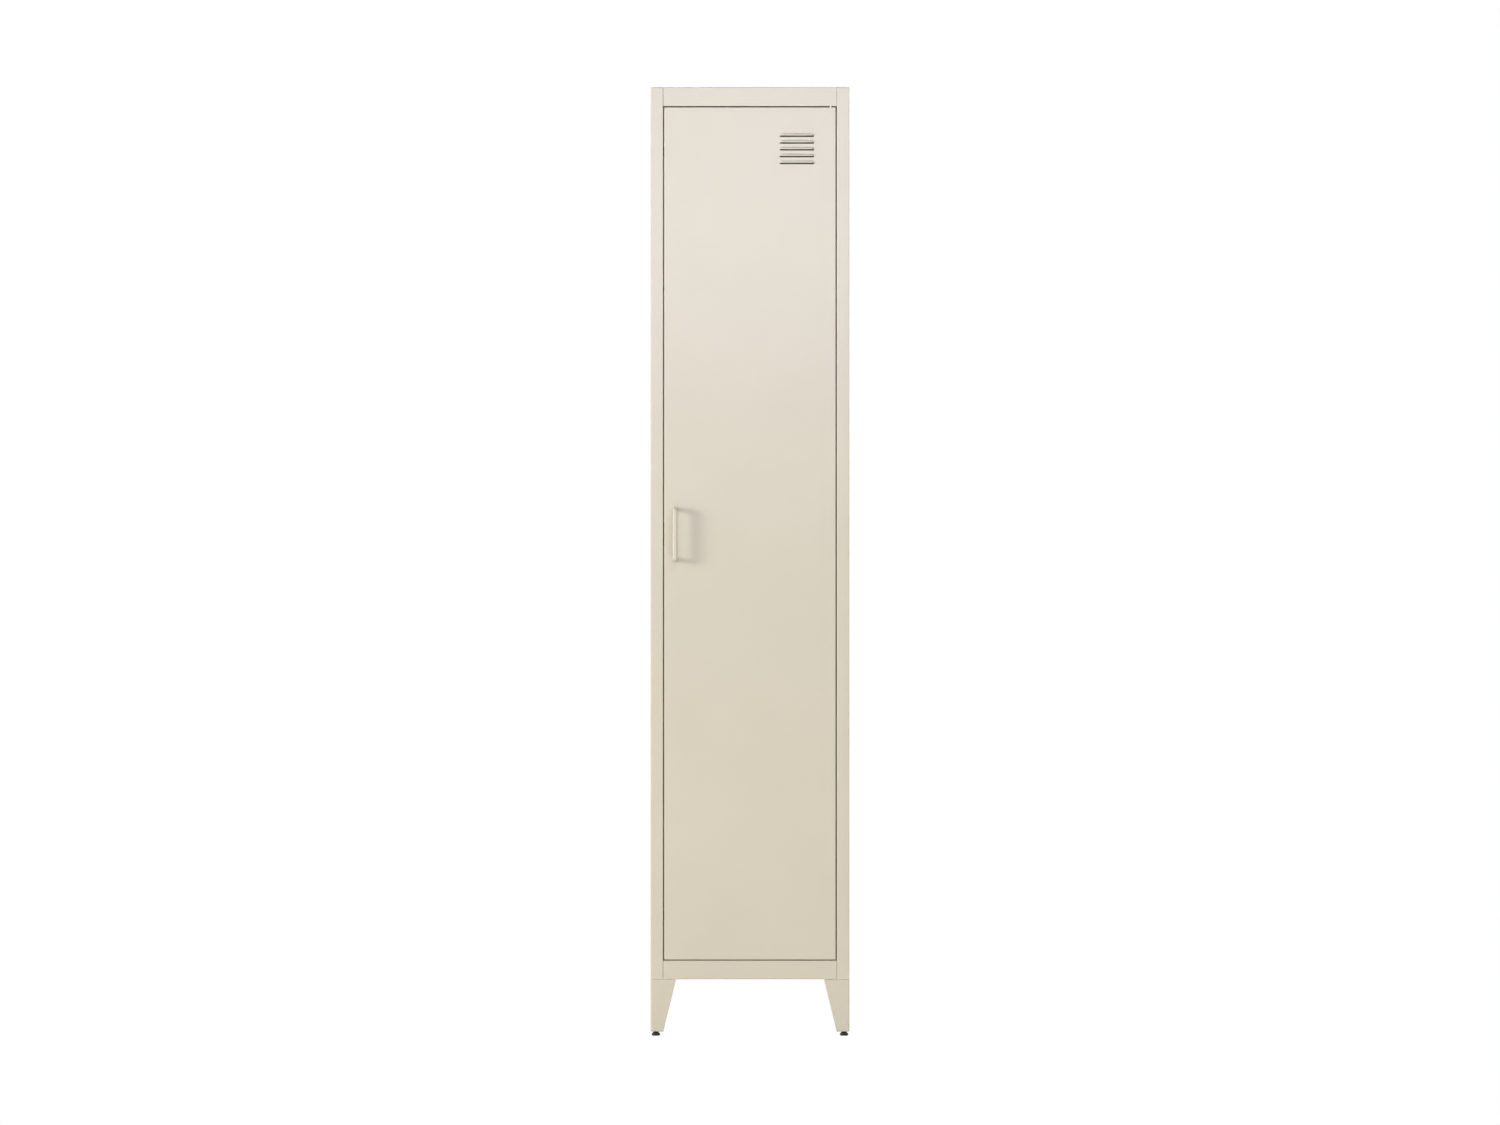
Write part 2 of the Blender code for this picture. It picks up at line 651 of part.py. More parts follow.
def door_front(bm):
    """The door's flat face with the louvres in it. Returns the four corners."""
    half, low, high = DOOR_HALF - BEND, DOOR_BOTTOM + BEND, DOOR_TOP - BEND
    corners = [(-half, low), (half, low), (half, high), (-half, high)]
    corners = [bm.verts.new((x, FRONT, z)) for x, z in corners]
    hoods = [louvre(bm, LOWEST_CUT + LOUVRE_PITCH * i) for i in range(LOUVRE_COUNT)]
    left, right = [], []
    for top, left_side, right_side, lower in hoods:
        left += reversed(left_side)
        right += reversed(right_side)
    bm.faces.new([corners[0], *left, corners[3]])
    bm.faces.new([corners[2], *reversed(right), corners[1]])
    bm.faces.new([corners[1], *reversed(hoods[0][3]), corners[0]])
    bm.faces.new([corners[3], *hoods[-1][0], corners[2]])
    for hood, next_hood in zip(hoods, hoods[1:]):
        bm.faces.new([*hood[0], *reversed(next_hood[3])])
    return corners


def door_panel():
    """The door's pan: a flat front with louvres, edges folded back and lips folded in."""
    bm = bmesh.new()
    corners = door_front(bm)
    ways = [-X - Z, X - Z, X + Z, -X + Z]
    row = fold(bm, corners, ways, Y, DOOR_DEPTH - 2 * BEND, closed=True)
    lip(bm, row, [-way for way in ways], DOOR_LIP - BEND, Y)
    panel = add_sheet("door_panel", bm, "paint", -Y)
    holes = bmesh.new()
    for height in (DOOR_BOTTOM, DOOR_TOP):
        move = Matrix.Translation((HINGE_X, HINGE_Y, height))
        stack(holes, [(circle(PIN_HOLE), -3 * MM), (circle(PIN_HOLE), 3 * MM)], turn=move)
    screw_holes(holes, 3 * MM)
    cut(panel, add_solid("door_holes", holes, "paint"))
    return panel


def door_stiffener():
    """A hat channel down the middle of the door, behind its face."""
    bm = bmesh.new()
    inner_bend = BEND - SHEET
    crown_half, low, high = 18 * MM, DOOR_BOTTOM + 60 * MM, DOOR_TOP - 130 * MM
    crown_y = FRONT + 15 * MM
    flange_y = FRONT + SHEET + GAP
    corners = [(-crown_half, low), (crown_half, low), (crown_half, high), (-crown_half, high)]
    points = face_through(bm, [(x, crown_y, z) for x, z in corners])
    web = crown_y - flange_y - SHEET - BEND - inner_bend
    for row, way in (([points[0], points[3]], -X), ([points[1], points[2]], X)):
        row = fold(bm, row, way, -Y, web)
        fold(bm, row, -Y, way, 10 * MM, radius=inner_bend)
    return add_sheet("door_stiffener", bm, "paint", Y)


def screw_heights():
    return [HANDLE_Z + end * HANDLE_CENTRES / 2 for end in (-1, 1)]


def screw_holes(bm, depth):
    """Rods for the handle's two screw holes, from inside the door's face to the depth given."""
    outline = circle(SCREW_RADIUS + GAP, 12)
    for height in screw_heights():
        move = Matrix.Translation((HANDLE_X, FRONT, height)) @ Matrix.Rotation(pi / 2, 4, "X")
        stack(bm, [(outline, -3 * MM), (outline, depth)], turn=move)


def rounded_square(size, corner, steps=2):
    """A square outline with rounded corners, round its middle."""
    reach = size / 2 - corner
    quarter = arc((X + Y) * reach, X * corner, Y * corner, steps)
    turns = [Matrix.Rotation(pi / 2 * i, 3, "Z") for i in range(4)]
    return [turn @ point for turn in turns for point in quarter]


def handle():
    """A bow handle of one bent bar, with a blind hole in each foot for its screw."""
    out = FRONT - HANDLE_REACH + HANDLE_BAR / 2
    half = HANDLE_CENTRES / 2
    base = FRONT - GAP
    centre = Vector((HANDLE_X, 0, HANDLE_Z))
    bend = HANDLE_BEND
    lower = arc(centre + Y * (out + bend) - Z * (half - bend), -Z * bend, -Y * bend, 4)
    upper = arc(centre + Y * (out + bend) + Z * (half - bend), -Y * bend, Z * bend, 4)
    path = [centre + Y * base - Z * half, *lower, *upper, centre + Y * base + Z * half]
    bm = bmesh.new()
    tube(bm, path, [rounded_square(HANDLE_BAR, 2.2 * MM)] * len(path), side=X)
    item = add_solid("handle", bm, "paint")
    holes = bmesh.new()
    screw_holes(holes, 12 * MM)
    cut(item, add_solid("handle_holes", holes, "paint"))
    return item


def handle_screw(name, height):
    """A pan-head screw from inside the door into the handle."""
    seat = -SHEET - GAP
    head = 4.2 * MM
    levels = [(head - 1 * MM, seat - 2.6 * MM), (head, seat - 1.6 * MM), (head, seat)]
    levels += [(SCREW_RADIUS, seat), (SCREW_RADIUS, 10 * MM)]
    bm = turned(levels, 12, turn=Matrix.Rotation(pi / 2, 4, "X"))
    return add_solid(name, bm, "steel", (HANDLE_X, FRONT, height))


def hinge_bracket():
    """A channel inside the door's top corner that guides the sprung pin."""
    bm = bmesh.new()
    bend = BRACKET_SHEET + 0.3 * MM
    left, right = HINGE_X - 8.2 * MM, HINGE_X + 8 * MM
    plate_y = HINGE_Y + 9.3 * MM
    low, high = BRACKET_TOP - BRACKET_HEIGHT + bend, BRACKET_TOP - bend
    corners = [(left, low), (right, low), (right, high), (left, high)]
    points = face_through(bm, [(x, plate_y, z) for x, z in corners])
    ear = plate_y - bend - (FRONT + SHEET + GAP)
    fold(bm, points[:2], -Z, -Y, ear, bend)
    fold(bm, points[2:], Z, -Y, ear, bend)
    bracket = add_sheet("hinge_bracket", bm, "steel", Y, BRACKET_SHEET)
    hole = turned([(PIN_HOLE, -BRACKET_HEIGHT - 5 * MM), (PIN_HOLE, 5 * MM)])
    cut(bracket, add_solid("bracket_hole", hole, "steel", (HINGE_X, HINGE_Y, BRACKET_TOP)))
    return bracket


def hinge_pin_lower():
    """The fixed lower pin, headed inside the door."""
    top = SHEET + GAP
    levels = [(1.5, -7), (2, -6.3), (2, top / MM), (4, top / MM), (4, top / MM + 2), (3.2, top / MM + 2.6)]
    bm = turned([(r * MM, z * MM) for r, z in levels], 16)
    return add_solid("hinge_pin_lower", bm, "steel", (HINGE_X, HINGE_Y, DOOR_BOTTOM))


def hinge_pin_upper():
    """The sprung upper pin, with a collar and a bent finger grip. Its origin is on its axis."""
    finger_z = BRACKET_TOP - BRACKET_HEIGHT - 9 * MM
    bend = 4 * MM
    tip = CEILING + 5 * MM
    heights = [(tip, 1.5 * MM), (tip - 0.7 * MM, PIN_RADIUS), (COLLAR_TOP, PIN_RADIUS)]
    heights += [(COLLAR_TOP - 0.02 * MM, 3.6 * MM), (COLLAR_TOP - COLLAR_HEIGHT, 3.6 * MM)]
    heights += [(COLLAR_TOP - COLLAR_HEIGHT - 0.02 * MM, PIN_RADIUS)]
    points = [Z * (height - CEILING) for height, _ in heights]
    outlines = [circle(radius, 12) for _, radius in heights]
    elbow = arc(Z * (finger_z + bend - CEILING) - X * bend, X * bend, -Z * bend, 4)
    grip = [*elbow, Z * (finger_z - CEILING) - X * 17 * MM]
    points += grip
    outlines += [circle(PIN_RADIUS, 12)] * len(grip)
    bm = bmesh.new()
    tube(bm, points, outlines)
    return add_solid("hinge_pin_upper", bm, "steel", (HINGE_X, HINGE_Y, CEILING))


def hinge_spring(turns=6, steps=10):
    """The coil spring round the upper pin, between the bracket's lower ear and the collar."""
    wire, coil = 0.5 * MM, 3.0 * MM
    height = SPRING_TOP - SPRING_BOTTOM - 2 * wire
    points = []
    for i in range(turns * steps + 1):
        angle = 2 * pi * i / steps
        points.append(Vector((coil * cos(angle), coil * sin(angle), wire + height * i / (turns * steps))))
    bm = bmesh.new()
    tube(bm, points, [circle(wire, 5)] * len(points), side=Z)
    return add_solid("hinge_spring", bm, "spring_steel", (HINGE_X, HINGE_Y, SPRING_BOTTOM))


# Assembly


def build_carcass():
    side_panel("side_panel_left", -1)
    side_panel("side_panel_right", 1)
    top_panel()
    bottom_panel()
    back_panel()
    for shelf_name, level in (("upper", UPPER_SHELF), ("lower", LOWER_SHELF)):
        shelf(shelf_name + "_shelf", level)
        for end_name, clip_y in (("front", CLIP_FRONT), ("rear", CLIP_REAR)):
            for side_name, side in (("left", -1), ("right", 1)):
                shelf_clip(f"shelf_clip_{shelf_name}_{end_name}_{side_name}", side, clip_y, level)
    rail_socket("rail_socket_left", -1)
    rail_socket("rail_socket_right", 1)
    hanging_rail()
    catch_parts()
    door_stop("door_stop_upper", UPPER_STOP)
    door_stop("door_stop_lower", LOWER_STOP)
    hinge_bushes()
    door_glide()


def build_legs():
    for name, corner in leg_corners():
        leg("leg_" + name, corner)
        leg_fixings(name, corner)
        foot(name, corner)


def build_door():
    hinge_axis = bpy.data.objects.new("door_hinge_axis", None)
    hinge_axis.location = (HINGE_X, HINGE_Y, (DOOR_TOP + DOOR_BOTTOM) / 2)
    bpy.context.scene.collection.objects.link(hinge_axis)
    pieces = [door_panel(), door_stiffener(), handle(), hinge_bracket(), hinge_pin_lower()]
    lower, upper = screw_heights()
    pieces += [handle_screw("handle_screw_lower", lower), handle_screw("handle_screw_upper", upper)]
    pieces += [hinge_pin_upper(), hinge_spring()]
    hang_on(pieces, hinge_axis)


clear_scene()
build_carcass()
build_legs()
build_door()
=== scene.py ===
"""The looks of a tall one-door steel locker: fine sheet metal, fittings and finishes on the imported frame.

Metres, +Z up. The front faces -Y and Z = 0 is the floor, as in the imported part. Every piece is made at its
own place in that frame, takes its place from the node that it stands for, and rides on that node's body.
"""

import json
from math import cos, pi, radians, sin

import bmesh
import bpy
from mathutils import Matrix, Vector


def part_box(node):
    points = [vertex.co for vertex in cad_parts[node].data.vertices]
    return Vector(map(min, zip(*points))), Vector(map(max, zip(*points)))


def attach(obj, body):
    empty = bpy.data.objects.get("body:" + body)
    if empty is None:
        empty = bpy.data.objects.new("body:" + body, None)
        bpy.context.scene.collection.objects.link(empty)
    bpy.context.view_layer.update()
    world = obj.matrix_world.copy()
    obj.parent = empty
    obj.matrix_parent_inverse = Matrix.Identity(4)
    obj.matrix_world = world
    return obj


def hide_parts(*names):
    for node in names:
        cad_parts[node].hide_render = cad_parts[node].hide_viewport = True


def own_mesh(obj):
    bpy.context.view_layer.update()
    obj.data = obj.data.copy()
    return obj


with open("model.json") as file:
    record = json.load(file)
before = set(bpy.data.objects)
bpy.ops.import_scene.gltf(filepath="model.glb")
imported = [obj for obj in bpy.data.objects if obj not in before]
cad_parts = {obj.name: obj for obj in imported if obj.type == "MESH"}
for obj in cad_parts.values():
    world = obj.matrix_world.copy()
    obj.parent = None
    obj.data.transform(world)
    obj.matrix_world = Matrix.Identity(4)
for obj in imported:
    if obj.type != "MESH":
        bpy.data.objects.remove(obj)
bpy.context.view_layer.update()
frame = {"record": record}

MM = 0.001
X, Y, Z = Vector((1, 0, 0)), Vector((0, 1, 0)), Vector((0, 0, 1))
ALONG_X = Matrix.Rotation(pi / 2, 4, "Y")
OUT_OF_FRONT = Matrix.Rotation(pi / 2, 4, "X")

# Sheet metal
SHEET = 0.8 * MM
BEND = 1.6 * MM
BEND_STEPS = 8
EDGE = 0.16 * MM
GAP = 0.3 * MM

# Frame round the door opening
POST_DEPTH = 36 * MM
POST_LIP = 12 * MM
RAIL_UPSTAND = 8 * MM
REAR_FLANGE = 15 * MM
PANEL_FLANGE = 25 * MM
FLOOR_FLANGE = 29.8 * MM
RIGHT_LOW, RIGHT_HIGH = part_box("side_panel_right")
HALF_WIDTH = RIGHT_HIGH.x
FRONT, BACK = RIGHT_LOW.y, RIGHT_HIGH.y
WALL_INNER = HALF_WIDTH - SHEET
OPENING_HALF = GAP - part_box("catch_housing")[0].x
POST_WIDTH = HALF_WIDTH - OPENING_HALF
BEHIND_POSTS = FRONT + POST_DEPTH
CEILING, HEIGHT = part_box("top_panel")[0].z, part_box("top_panel")[1].z
LEG_TOP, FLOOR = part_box("bottom_panel")[0].z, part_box("bottom_panel")[1].z

# Wall slots and shelves
CLIP_STEP = 60 * MM
SLOT_HEIGHT = 3.2 * MM
SLOT_DROP = 5 * MM - GAP
SHELF_LIP = 8 * MM

# Door
DOOR_LOW, DOOR_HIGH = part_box("door_panel")
DOOR_LIP = 14 * MM
PIN_LOW, PIN_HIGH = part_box("hinge_pin_lower")
HINGE = (PIN_LOW + PIN_HIGH) / 2
ON_HINGE = Matrix.Translation((HINGE.x, HINGE.y, 0))
PIN_RADIUS = 2.0 * MM
PIN_TIP = 1.4 * MM
PIN_HOLE = PIN_RADIUS + GAP
BUSH_BARREL = 3.0 * MM
BUSH_HOLE = BUSH_BARREL + GAP
UPPER_COLLAR = 1.5 * MM
LOWER_COLLAR = 0.9 * MM

# Louvres, pressed out of the door
LOUVRE_COUNT = 5
LOUVRE_PITCH = 13 * MM
LOUVRE_LEFT = 57.2 * MM
LOUVRE_WIDTH = 65 * MM
LOUVRE_SLOT = 2.6 * MM
LOUVRE_HOOD = 4.5 * MM
LOUVRE_DEPTH = FRONT - DOOR_LOW.y
LOWEST_CUT = DOOR_HIGH.z - 108.6 * MM

# Handle and its screws
HANDLE_LOW, HANDLE_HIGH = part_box("handle")
HANDLE_BAR = HANDLE_HIGH.x - HANDLE_LOW.x
HANDLE_CORNER = 3.4 * MM
HANDLE_BEND = 6 * MM
SCREW_RADIUS = 2.0 * MM

# Legs and feet
LEG_SHEET = 1.5 * MM
LEG_BEND = 2.4 * MM
LEG_FOOT_WIDTH = 24.9 * MM
BOLT_RADIUS = 2.9 * MM
STUD_RADIUS = 3.9 * MM
ROUND_SIDES = 48

# Fasteners, as cut: the thread's pitch and what is left round a rod that passes through a sheet
BOLT_FLATS = 10 * MM
BOLT_HEAD = 4 * MM
BOLT_PITCH = 1 * MM
STUD_PITCH = 1.25 * MM
SCREW_PITCH = 0.7 * MM
LOOSE = 2 * GAP

# The view: how wide the picture is at the front, and how far its middle lies under the locker's
VIEW_WIDTH = 2.867
VIEW_DROP = 2 * MM

BODIES = frame["record"]["behaviour"]["bodies"]
NODE_BODY = {node: body for body, nodes in BODIES.items() for node in nodes}
finishes = {}


# Pieces


def add_mesh(name, bm):
    """Make the mesh an object, shaded smooth."""
    mesh = bpy.data.meshes.new(name)
    bm.to_mesh(mesh)
    bm.free()
    mesh.shade_smooth()
    item = bpy.data.objects.new(name, mesh)
    bpy.context.scene.collection.objects.link(item)
    return item


def closed(name, bm):
    """Make a closed mesh an object, turned the right way out."""
    bmesh.ops.recalc_face_normals(bm, faces=bm.faces)
    return add_mesh(name, bm)


def sheet(name, bm, skin, thickness=SHEET):
    """Thicken a skin inwards. The skin's first face looks along the direction given."""
    bm.faces.ensure_lookup_table()
    bmesh.ops.recalc_face_normals(bm, faces=bm.faces)
    if bm.faces[0].normal.dot(skin) < 0:
        bmesh.ops.reverse_faces(bm, faces=bm.faces)
    item = add_mesh(name, bm)
    solidify = item.modifiers.new("thickness", "SOLIDIFY")
    solidify.thickness = thickness
    solidify.offset = -1
    solidify.use_even_offset = True
    return item


def settle(item):
    """Apply the object's modifiers, in their order."""
    graph = bpy.context.evaluated_depsgraph_get()
    mesh = bpy.data.meshes.new_from_object(item.evaluated_get(graph))
    item.modifiers.clear()
    item.data = mesh


def cut(item, bm):
    """Take the closed mesh's shape out of the object."""
    cutter = closed("cutter", bm)
    boolean = item.modifiers.new("cut", "BOOLEAN")
    boolean.operation = "DIFFERENCE"
    boolean.solver = "EXACT"
    boolean.object = cutter
    settle(item)
    bpy.data.objects.remove(cutter, do_unlink=True)


def round_edges(item, width, segments=2, angle=38):
    """Break the object's hard edges."""
    bevel = item.modifiers.new("edges", "BEVEL")
    bevel.width = width
    bevel.segments = segments
    bevel.limit_method = "ANGLE"
    bevel.angle_limit = radians(angle)
    bevel.miter_outer = "MITER_ARC"
    settle(item)


def show(item, slot, node, replace=True):
    """Make the object a piece of the locker, in the slot's finish, riding on the node's body."""
    item.data.shade_smooth()
    item.data.set_sharp_from_angle(angle=radians(50))
    weighted = item.modifiers.new("flats", "WEIGHTED_NORMAL")
    weighted.keep_sharp = True
    settle(item)
    item.data.materials.clear()
    item.data.materials.append(finishes[slot])
    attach(item, NODE_BODY[node])
    if replace:
        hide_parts(node)
    return item


# Shapes


def circle(radius, sides=ROUND_SIDES):
    """Points at equal angles on a circle about the origin."""
    turns = [2 * pi * i / sides for i in range(sides)]
    return [Vector((cos(turn), sin(turn), 0)) * radius for turn in turns]


def hexagon(flats, sides=ROUND_SIDES):
    """A hexagon with the distance given across its flats, with points at equal angles."""
    outline = []
    for i in range(sides):
        angle = 2 * pi * i / sides
        off_flat = (angle + pi / 6) % (pi / 3) - pi / 6
        outline.append(Vector((cos(angle), sin(angle), 0)) * (flats / 2 / cos(off_flat)))
    return outline


def rounded(points, reach, steps=4, is_loop=False):
    """Round the corners of a chain or loop of points. Each curve starts the reach away from its corner."""
    points = [Vector(point) for point in points]
    count = len(points)
    result = []
    for i, corner in enumerate(points):
        if not is_loop and i in (0, count - 1):
            result.append(corner)
            continue
        before, after = points[i - 1] - corner, points[(i + 1) % count] - corner
        start = corner + before.normalized() * min(reach, before.length * 0.48)
        end = corner + after.normalized() * min(reach, after.length * 0.48)
        for step in range(steps + 1):
            t = step / steps
            result.append(start * (1 - t) ** 2 + corner * 2 * t * (1 - t) + end * t**2)
    return result


def bridge(bm, ring, next_ring):
    """Join two rings with the same number of points."""
    count = len(ring)
    for i in range(count):
        j = (i + 1) % count
        bm.faces.new((ring[i], ring[j], next_ring[j], next_ring[i]))


def stack(bm, levels, is_closed=False, turn=Matrix()):
    """Loft outlines at their heights. Closed joins the last to the first, which leaves a hole."""
    rings = []
    for outline, height in levels:
        rings.append([bm.verts.new(turn @ (point + Z * height)) for point in outline])
    for ring, next_ring in zip(rings, rings[1:]):
        bridge(bm, ring, next_ring)
    if is_closed:
        bridge(bm, rings[-1], rings[0])
    else:
        bm.faces.new(rings[0])
        bm.faces.new(rings[-1])


def turned(bm, profile, sides=ROUND_SIDES, is_closed=False, turn=Matrix()):
    """A lathe-turned shape from (radius, height) points."""
    stack(bm, [(circle(radius, sides), height) for radius, height in profile], is_closed, turn)


def block(bm, low, high):
    """A rectangular block between two corners."""
    size = Vector(high) - Vector(low)
    middle = (Vector(high) + Vector(low)) / 2
    bmesh.ops.create_cube(bm, size=1, matrix=Matrix.Translation(middle) @ Matrix.Diagonal((*size, 1)))


def slab(bm, outline, start, end, turn=Matrix()):
    """An outline made solid between two heights."""
    stack(bm, [(outline, start), (outline, end)], turn=turn)


def tube(bm, points, outlines, side=Y):
    """Sweep an outline along a path without twist. The outline's own X starts out along side."""
    count = len(points)
    rings = []
    for i, (point, outline) in enumerate(zip(points, outlines)):
        before = points[max(i - 1, 0)]
        after = points[min(i + 1, count - 1)]
        along = (after - before).normalized()
        side = (side - along * side.dot(along)).normalized()
        up = along.cross(side)
        rings.append([bm.verts.new(point + side * spot.x + up * spot.y) for spot in outline])
    for ring, next_ring in zip(rings, rings[1:]):
        bridge(bm, ring, next_ring)
    bm.faces.new(rings[0])
    bm.faces.new(rings[-1])


def arc(centre, start, end, steps):
    """Points on a quarter circle about the centre, from centre + start to centre + end."""
    turns = [pi / 2 * i / steps for i in range(steps + 1)]
    return [centre + start * cos(turn) + end * sin(turn) for turn in turns]


def thread(bm, radius, pitch, low, high, turn, sides=24, per_turn=8):
    """A rod with a helical thread, from low to high, with its ends chamfered."""
    depth = 0.55 * pitch
    steps = round((high - low) / pitch * per_turn)
    levels = []
    for i in range(steps + 1):
        height = low + (high - low) * i / steps
        chamfer = radius - depth + min(height - low, high - height)
        outline = []
        for spot in circle(1, sides):
            phase = (height / pitch - len(outline) / sides) % 1
            ridge = radius - depth * (1 - abs(2 * phase - 1))
            outline.append(spot * min(ridge, chamfer))
        levels.append((outline, height))
    stack(bm, levels, turn=turn)


# Folded sheet


def face_through(bm, places):
    """A flat face through the places given, and its corner points."""
    points = [bm.verts.new(place) for place in places]
    bm.faces.new(points)
    return points


def strip(bm, row, offsets, is_loop=False):
    """Grow a strip of faces from a row of points, and return the new row."""
    new_row = [bm.verts.new(point.co + offset) for point, offset in zip(row, offsets)]
    pairs = list(zip(row, row[1:], new_row[1:], new_row))
    if is_loop:
        pairs.append((row[-1], row[0], new_row[0], new_row[-1]))
    for corners in pairs:
        bm.faces.new(corners)
    return new_row


def bend_moves(radius):
    """The moves along and across that take a sheet through a right angle, one for each step."""
    turns = [pi / 2 * step / BEND_STEPS for step in range(BEND_STEPS + 1)]
    spots = [(radius * sin(turn), radius * (1 - cos(turn))) for turn in turns]
    return [(new[0] - old[0], new[1] - old[1]) for old, new in zip(spots, spots[1:])]


def fold(bm, row, outward, inward, run, radius=BEND, is_loop=False):
    """Bend a flange through a right angle along a row of points, and return its free edge.

    outward points off the sheet in its own plane, and is one direction or one for each point. inward is
    the side that the flange turns to, and run is the flat length after the bend.
    """
    if isinstance(outward, Vector):
        outward = [outward] * len(row)
    for out, down in bend_moves(radius):
        row = strip(bm, row, [way * out + inward * down for way in outward], is_loop)
    return strip(bm, row, [inward * run] * len(row), is_loop)


def lip(bm, row, inward_ways, run, back, radius=BEND):
    """Bend a closed flange's free edge in under itself, with mitred corners."""
    for out, down in bend_moves(radius):
        row = strip(bm, row, [back * out + way * down for way in inward_ways], is_loop=True)
    return strip(bm, row, [way * run for way in inward_ways], is_loop=True)


# Carcass


def slot_outline(length, height, steps=4):
    """A slot's outline with rounded ends, lying along Y when it is turned to face X."""
    corners = [(-height, -length), (height, -length), (height, length), (-height, length)]
    return rounded([(x / 2, y / 2, 0) for x, y in corners], height * 0.4, steps, is_loop=True)


def wall_slots(bm, side_name, wall_x):
    """Rods through one side wall for the shelf clips' slots, one step above and below each clip too."""
    for shelf_name in ("upper", "lower"):
        for end_name in ("front", "rear"):
            low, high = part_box(f"shelf_clip_{shelf_name}_{end_name}_{side_name}")
            outline = slot_outline(high.y - low.y + 2 * GAP, SLOT_HEIGHT)
            for step in (-1, 0, 1):
                middle = Vector((wall_x, (low.y + high.y) / 2, high.z - SLOT_DROP + CLIP_STEP * step))
                turn = Matrix.Translation(middle) @ ALONG_X
                slab(bm, outline, -3 * MM, 3 * MM, turn)


def weld_dimple(bm, place, facing):
    """A shallow dish, as a spot weld leaves in a sheet. Facing points out of the sheet."""
    radius, depth = 2.6 * MM, 0.22 * MM
    rings = [(radius * cos(turn), depth * -sin(turn)) for turn in (0, pi / 6, pi / 3, pi * 0.46)]
    turn = Matrix.Translation(place) @ facing.to_track_quat("Z", "Y").to_matrix().to_4x4()
    turned(bm, [(radius, 1 * MM)] + rings, 20, turn=turn)


def rear_welds(bm, side):
    """Spot welds down the rear flange, which hold the back sheet."""
    count, margin = 11, 40 * MM
    low, high = LEG_TOP + margin, HEIGHT - margin
    for i in range(count):
        height = low + (high - low) * i / (count - 1)
        weld_dimple(bm, Vector((side * (HALF_WIDTH - REAR_FLANGE / 2), BACK, height)), Y)


def side_panel(side_name, side):
    """A side wall with its front edge folded into a box post and its rear edge into a flange."""
    name = "side_panel_" + side_name
    low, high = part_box(name)
    front, rear = FRONT + BEND, BACK - BEND
    wall_x = side * HALF_WIDTH
    inside = X * -side
    bm = bmesh.new()
    spots = [(front, low.z), (front, high.z), (rear, high.z), (rear, low.z)]
    points = face_through(bm, [(wall_x, y, z) for y, z in spots])
    row = fold(bm, points[:2], -Y, inside, POST_WIDTH - 2 * BEND)
    row = fold(bm, row, inside, Y, POST_DEPTH - 2 * BEND)
    fold(bm, row, Y, -inside, POST_LIP)
    fold(bm, points[2:], Y, inside, REAR_FLANGE - BEND)
    panel = sheet(name + "_fine", bm, X * side)
    holes = bmesh.new()
    wall_slots(holes, side_name, wall_x)
    rear_welds(holes, side)
    cut(panel, holes)
    round_edges(panel, EDGE)
    show(panel, "body_paint", name)


def panel_corners(level, back, over_posts):
    """The outline of the top or bottom sheet. It reaches over the posts or stops between them."""
    side = WALL_INNER - GAP - BEND
    rail = OPENING_HALF - GAP
    ear = WALL_INNER - GAP if over_posts else rail
    front, behind = FRONT + BEND, BEHIND_POSTS + GAP
    rear, relief = back - BEND, 2 * BEND
    half = [(rail, front)] + ([(ear, front)] if over_posts else [])
    half += [(ear, behind), (side, behind), (side, rear), (side - relief, rear)]
    right = [Vector((x, y, level)) for x, y in half]
    left = [Vector((-x, y, level)) for x, y in reversed(half)]
    return right + left


def end_panel(name, level, rail_height, side_run, is_floor):
    """The top or bottom panel: a sheet with a rail folded down in front and flanges on its other sides."""
    bm = bmesh.new()
    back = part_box(name)[1].y
    points = face_through(bm, panel_corners(level, back, not is_floor))
    count = len(points)
    right, right_rear, left_rear, left = count // 2 - 3, count // 2 - 1, count // 2, count // 2 + 1
    row = fold(bm, [points[0], points[-1]], -Y, -Z, rail_height - 2 * BEND)
    row = fold(bm, row, -Z, Y, POST_DEPTH - 2 * BEND)
    fold(bm, row, Y, Z, RAIL_UPSTAND)
    fold(bm, points[right : right + 2], X, -Z, side_run)
    fold(bm, points[left : left + 2], -X, -Z, side_run)
    if is_floor:
        row = fold(bm, [points[right_rear], points[left_rear]], Y, -Z, rail_height - 2 * BEND)
        fold(bm, row, -Z, -Y, POST_DEPTH - BEND)
    else:
        fold(bm, [points[right_rear], points[left_rear]], Y, -Z, side_run)
    return sheet(name + "_fine", bm, Z)


def bush_hole(bm, height):
    """A rod for a hinge bush's hole through a rail."""
    place = Matrix.Translation((HINGE.x, HINGE.y, height))
    turned(bm, [(BUSH_HOLE, -4 * MM), (BUSH_HOLE, 4 * MM)], turn=place)


def top_panel():
    """The top and the rail over the door, with a hole for the upper hinge bush."""
    panel = end_panel("top_panel", HEIGHT, HEIGHT - CEILING, PANEL_FLANGE - BEND, is_floor=False)
    hole = bmesh.new()
    bush_hole(hole, CEILING)
    cut(panel, hole)
    round_edges(panel, EDGE)
    show(panel, "body_paint", "top_panel")


def bottom_panel():
    """The floor and the rail under the door, with holes for the lower bush and the leg bolts."""
    panel = end_panel("bottom_panel", FLOOR, FLOOR - LEG_TOP, FLOOR_FLANGE, is_floor=True)
    holes = bmesh.new()
    bush_hole(holes, FLOOR)
    for name, _ in corners():
        middle = centre_of("leg_bolt_" + name)
        place = Matrix.Translation((middle.x, middle.y, LEG_TOP))
        turned(holes, [(BOLT_RADIUS + LOOSE, -3 * MM), (BOLT_RADIUS + LOOSE, 3 * MM)], turn=place)
    cut(panel, holes)
    round_edges(panel, EDGE)
    show(panel, "body_paint", "bottom_panel")


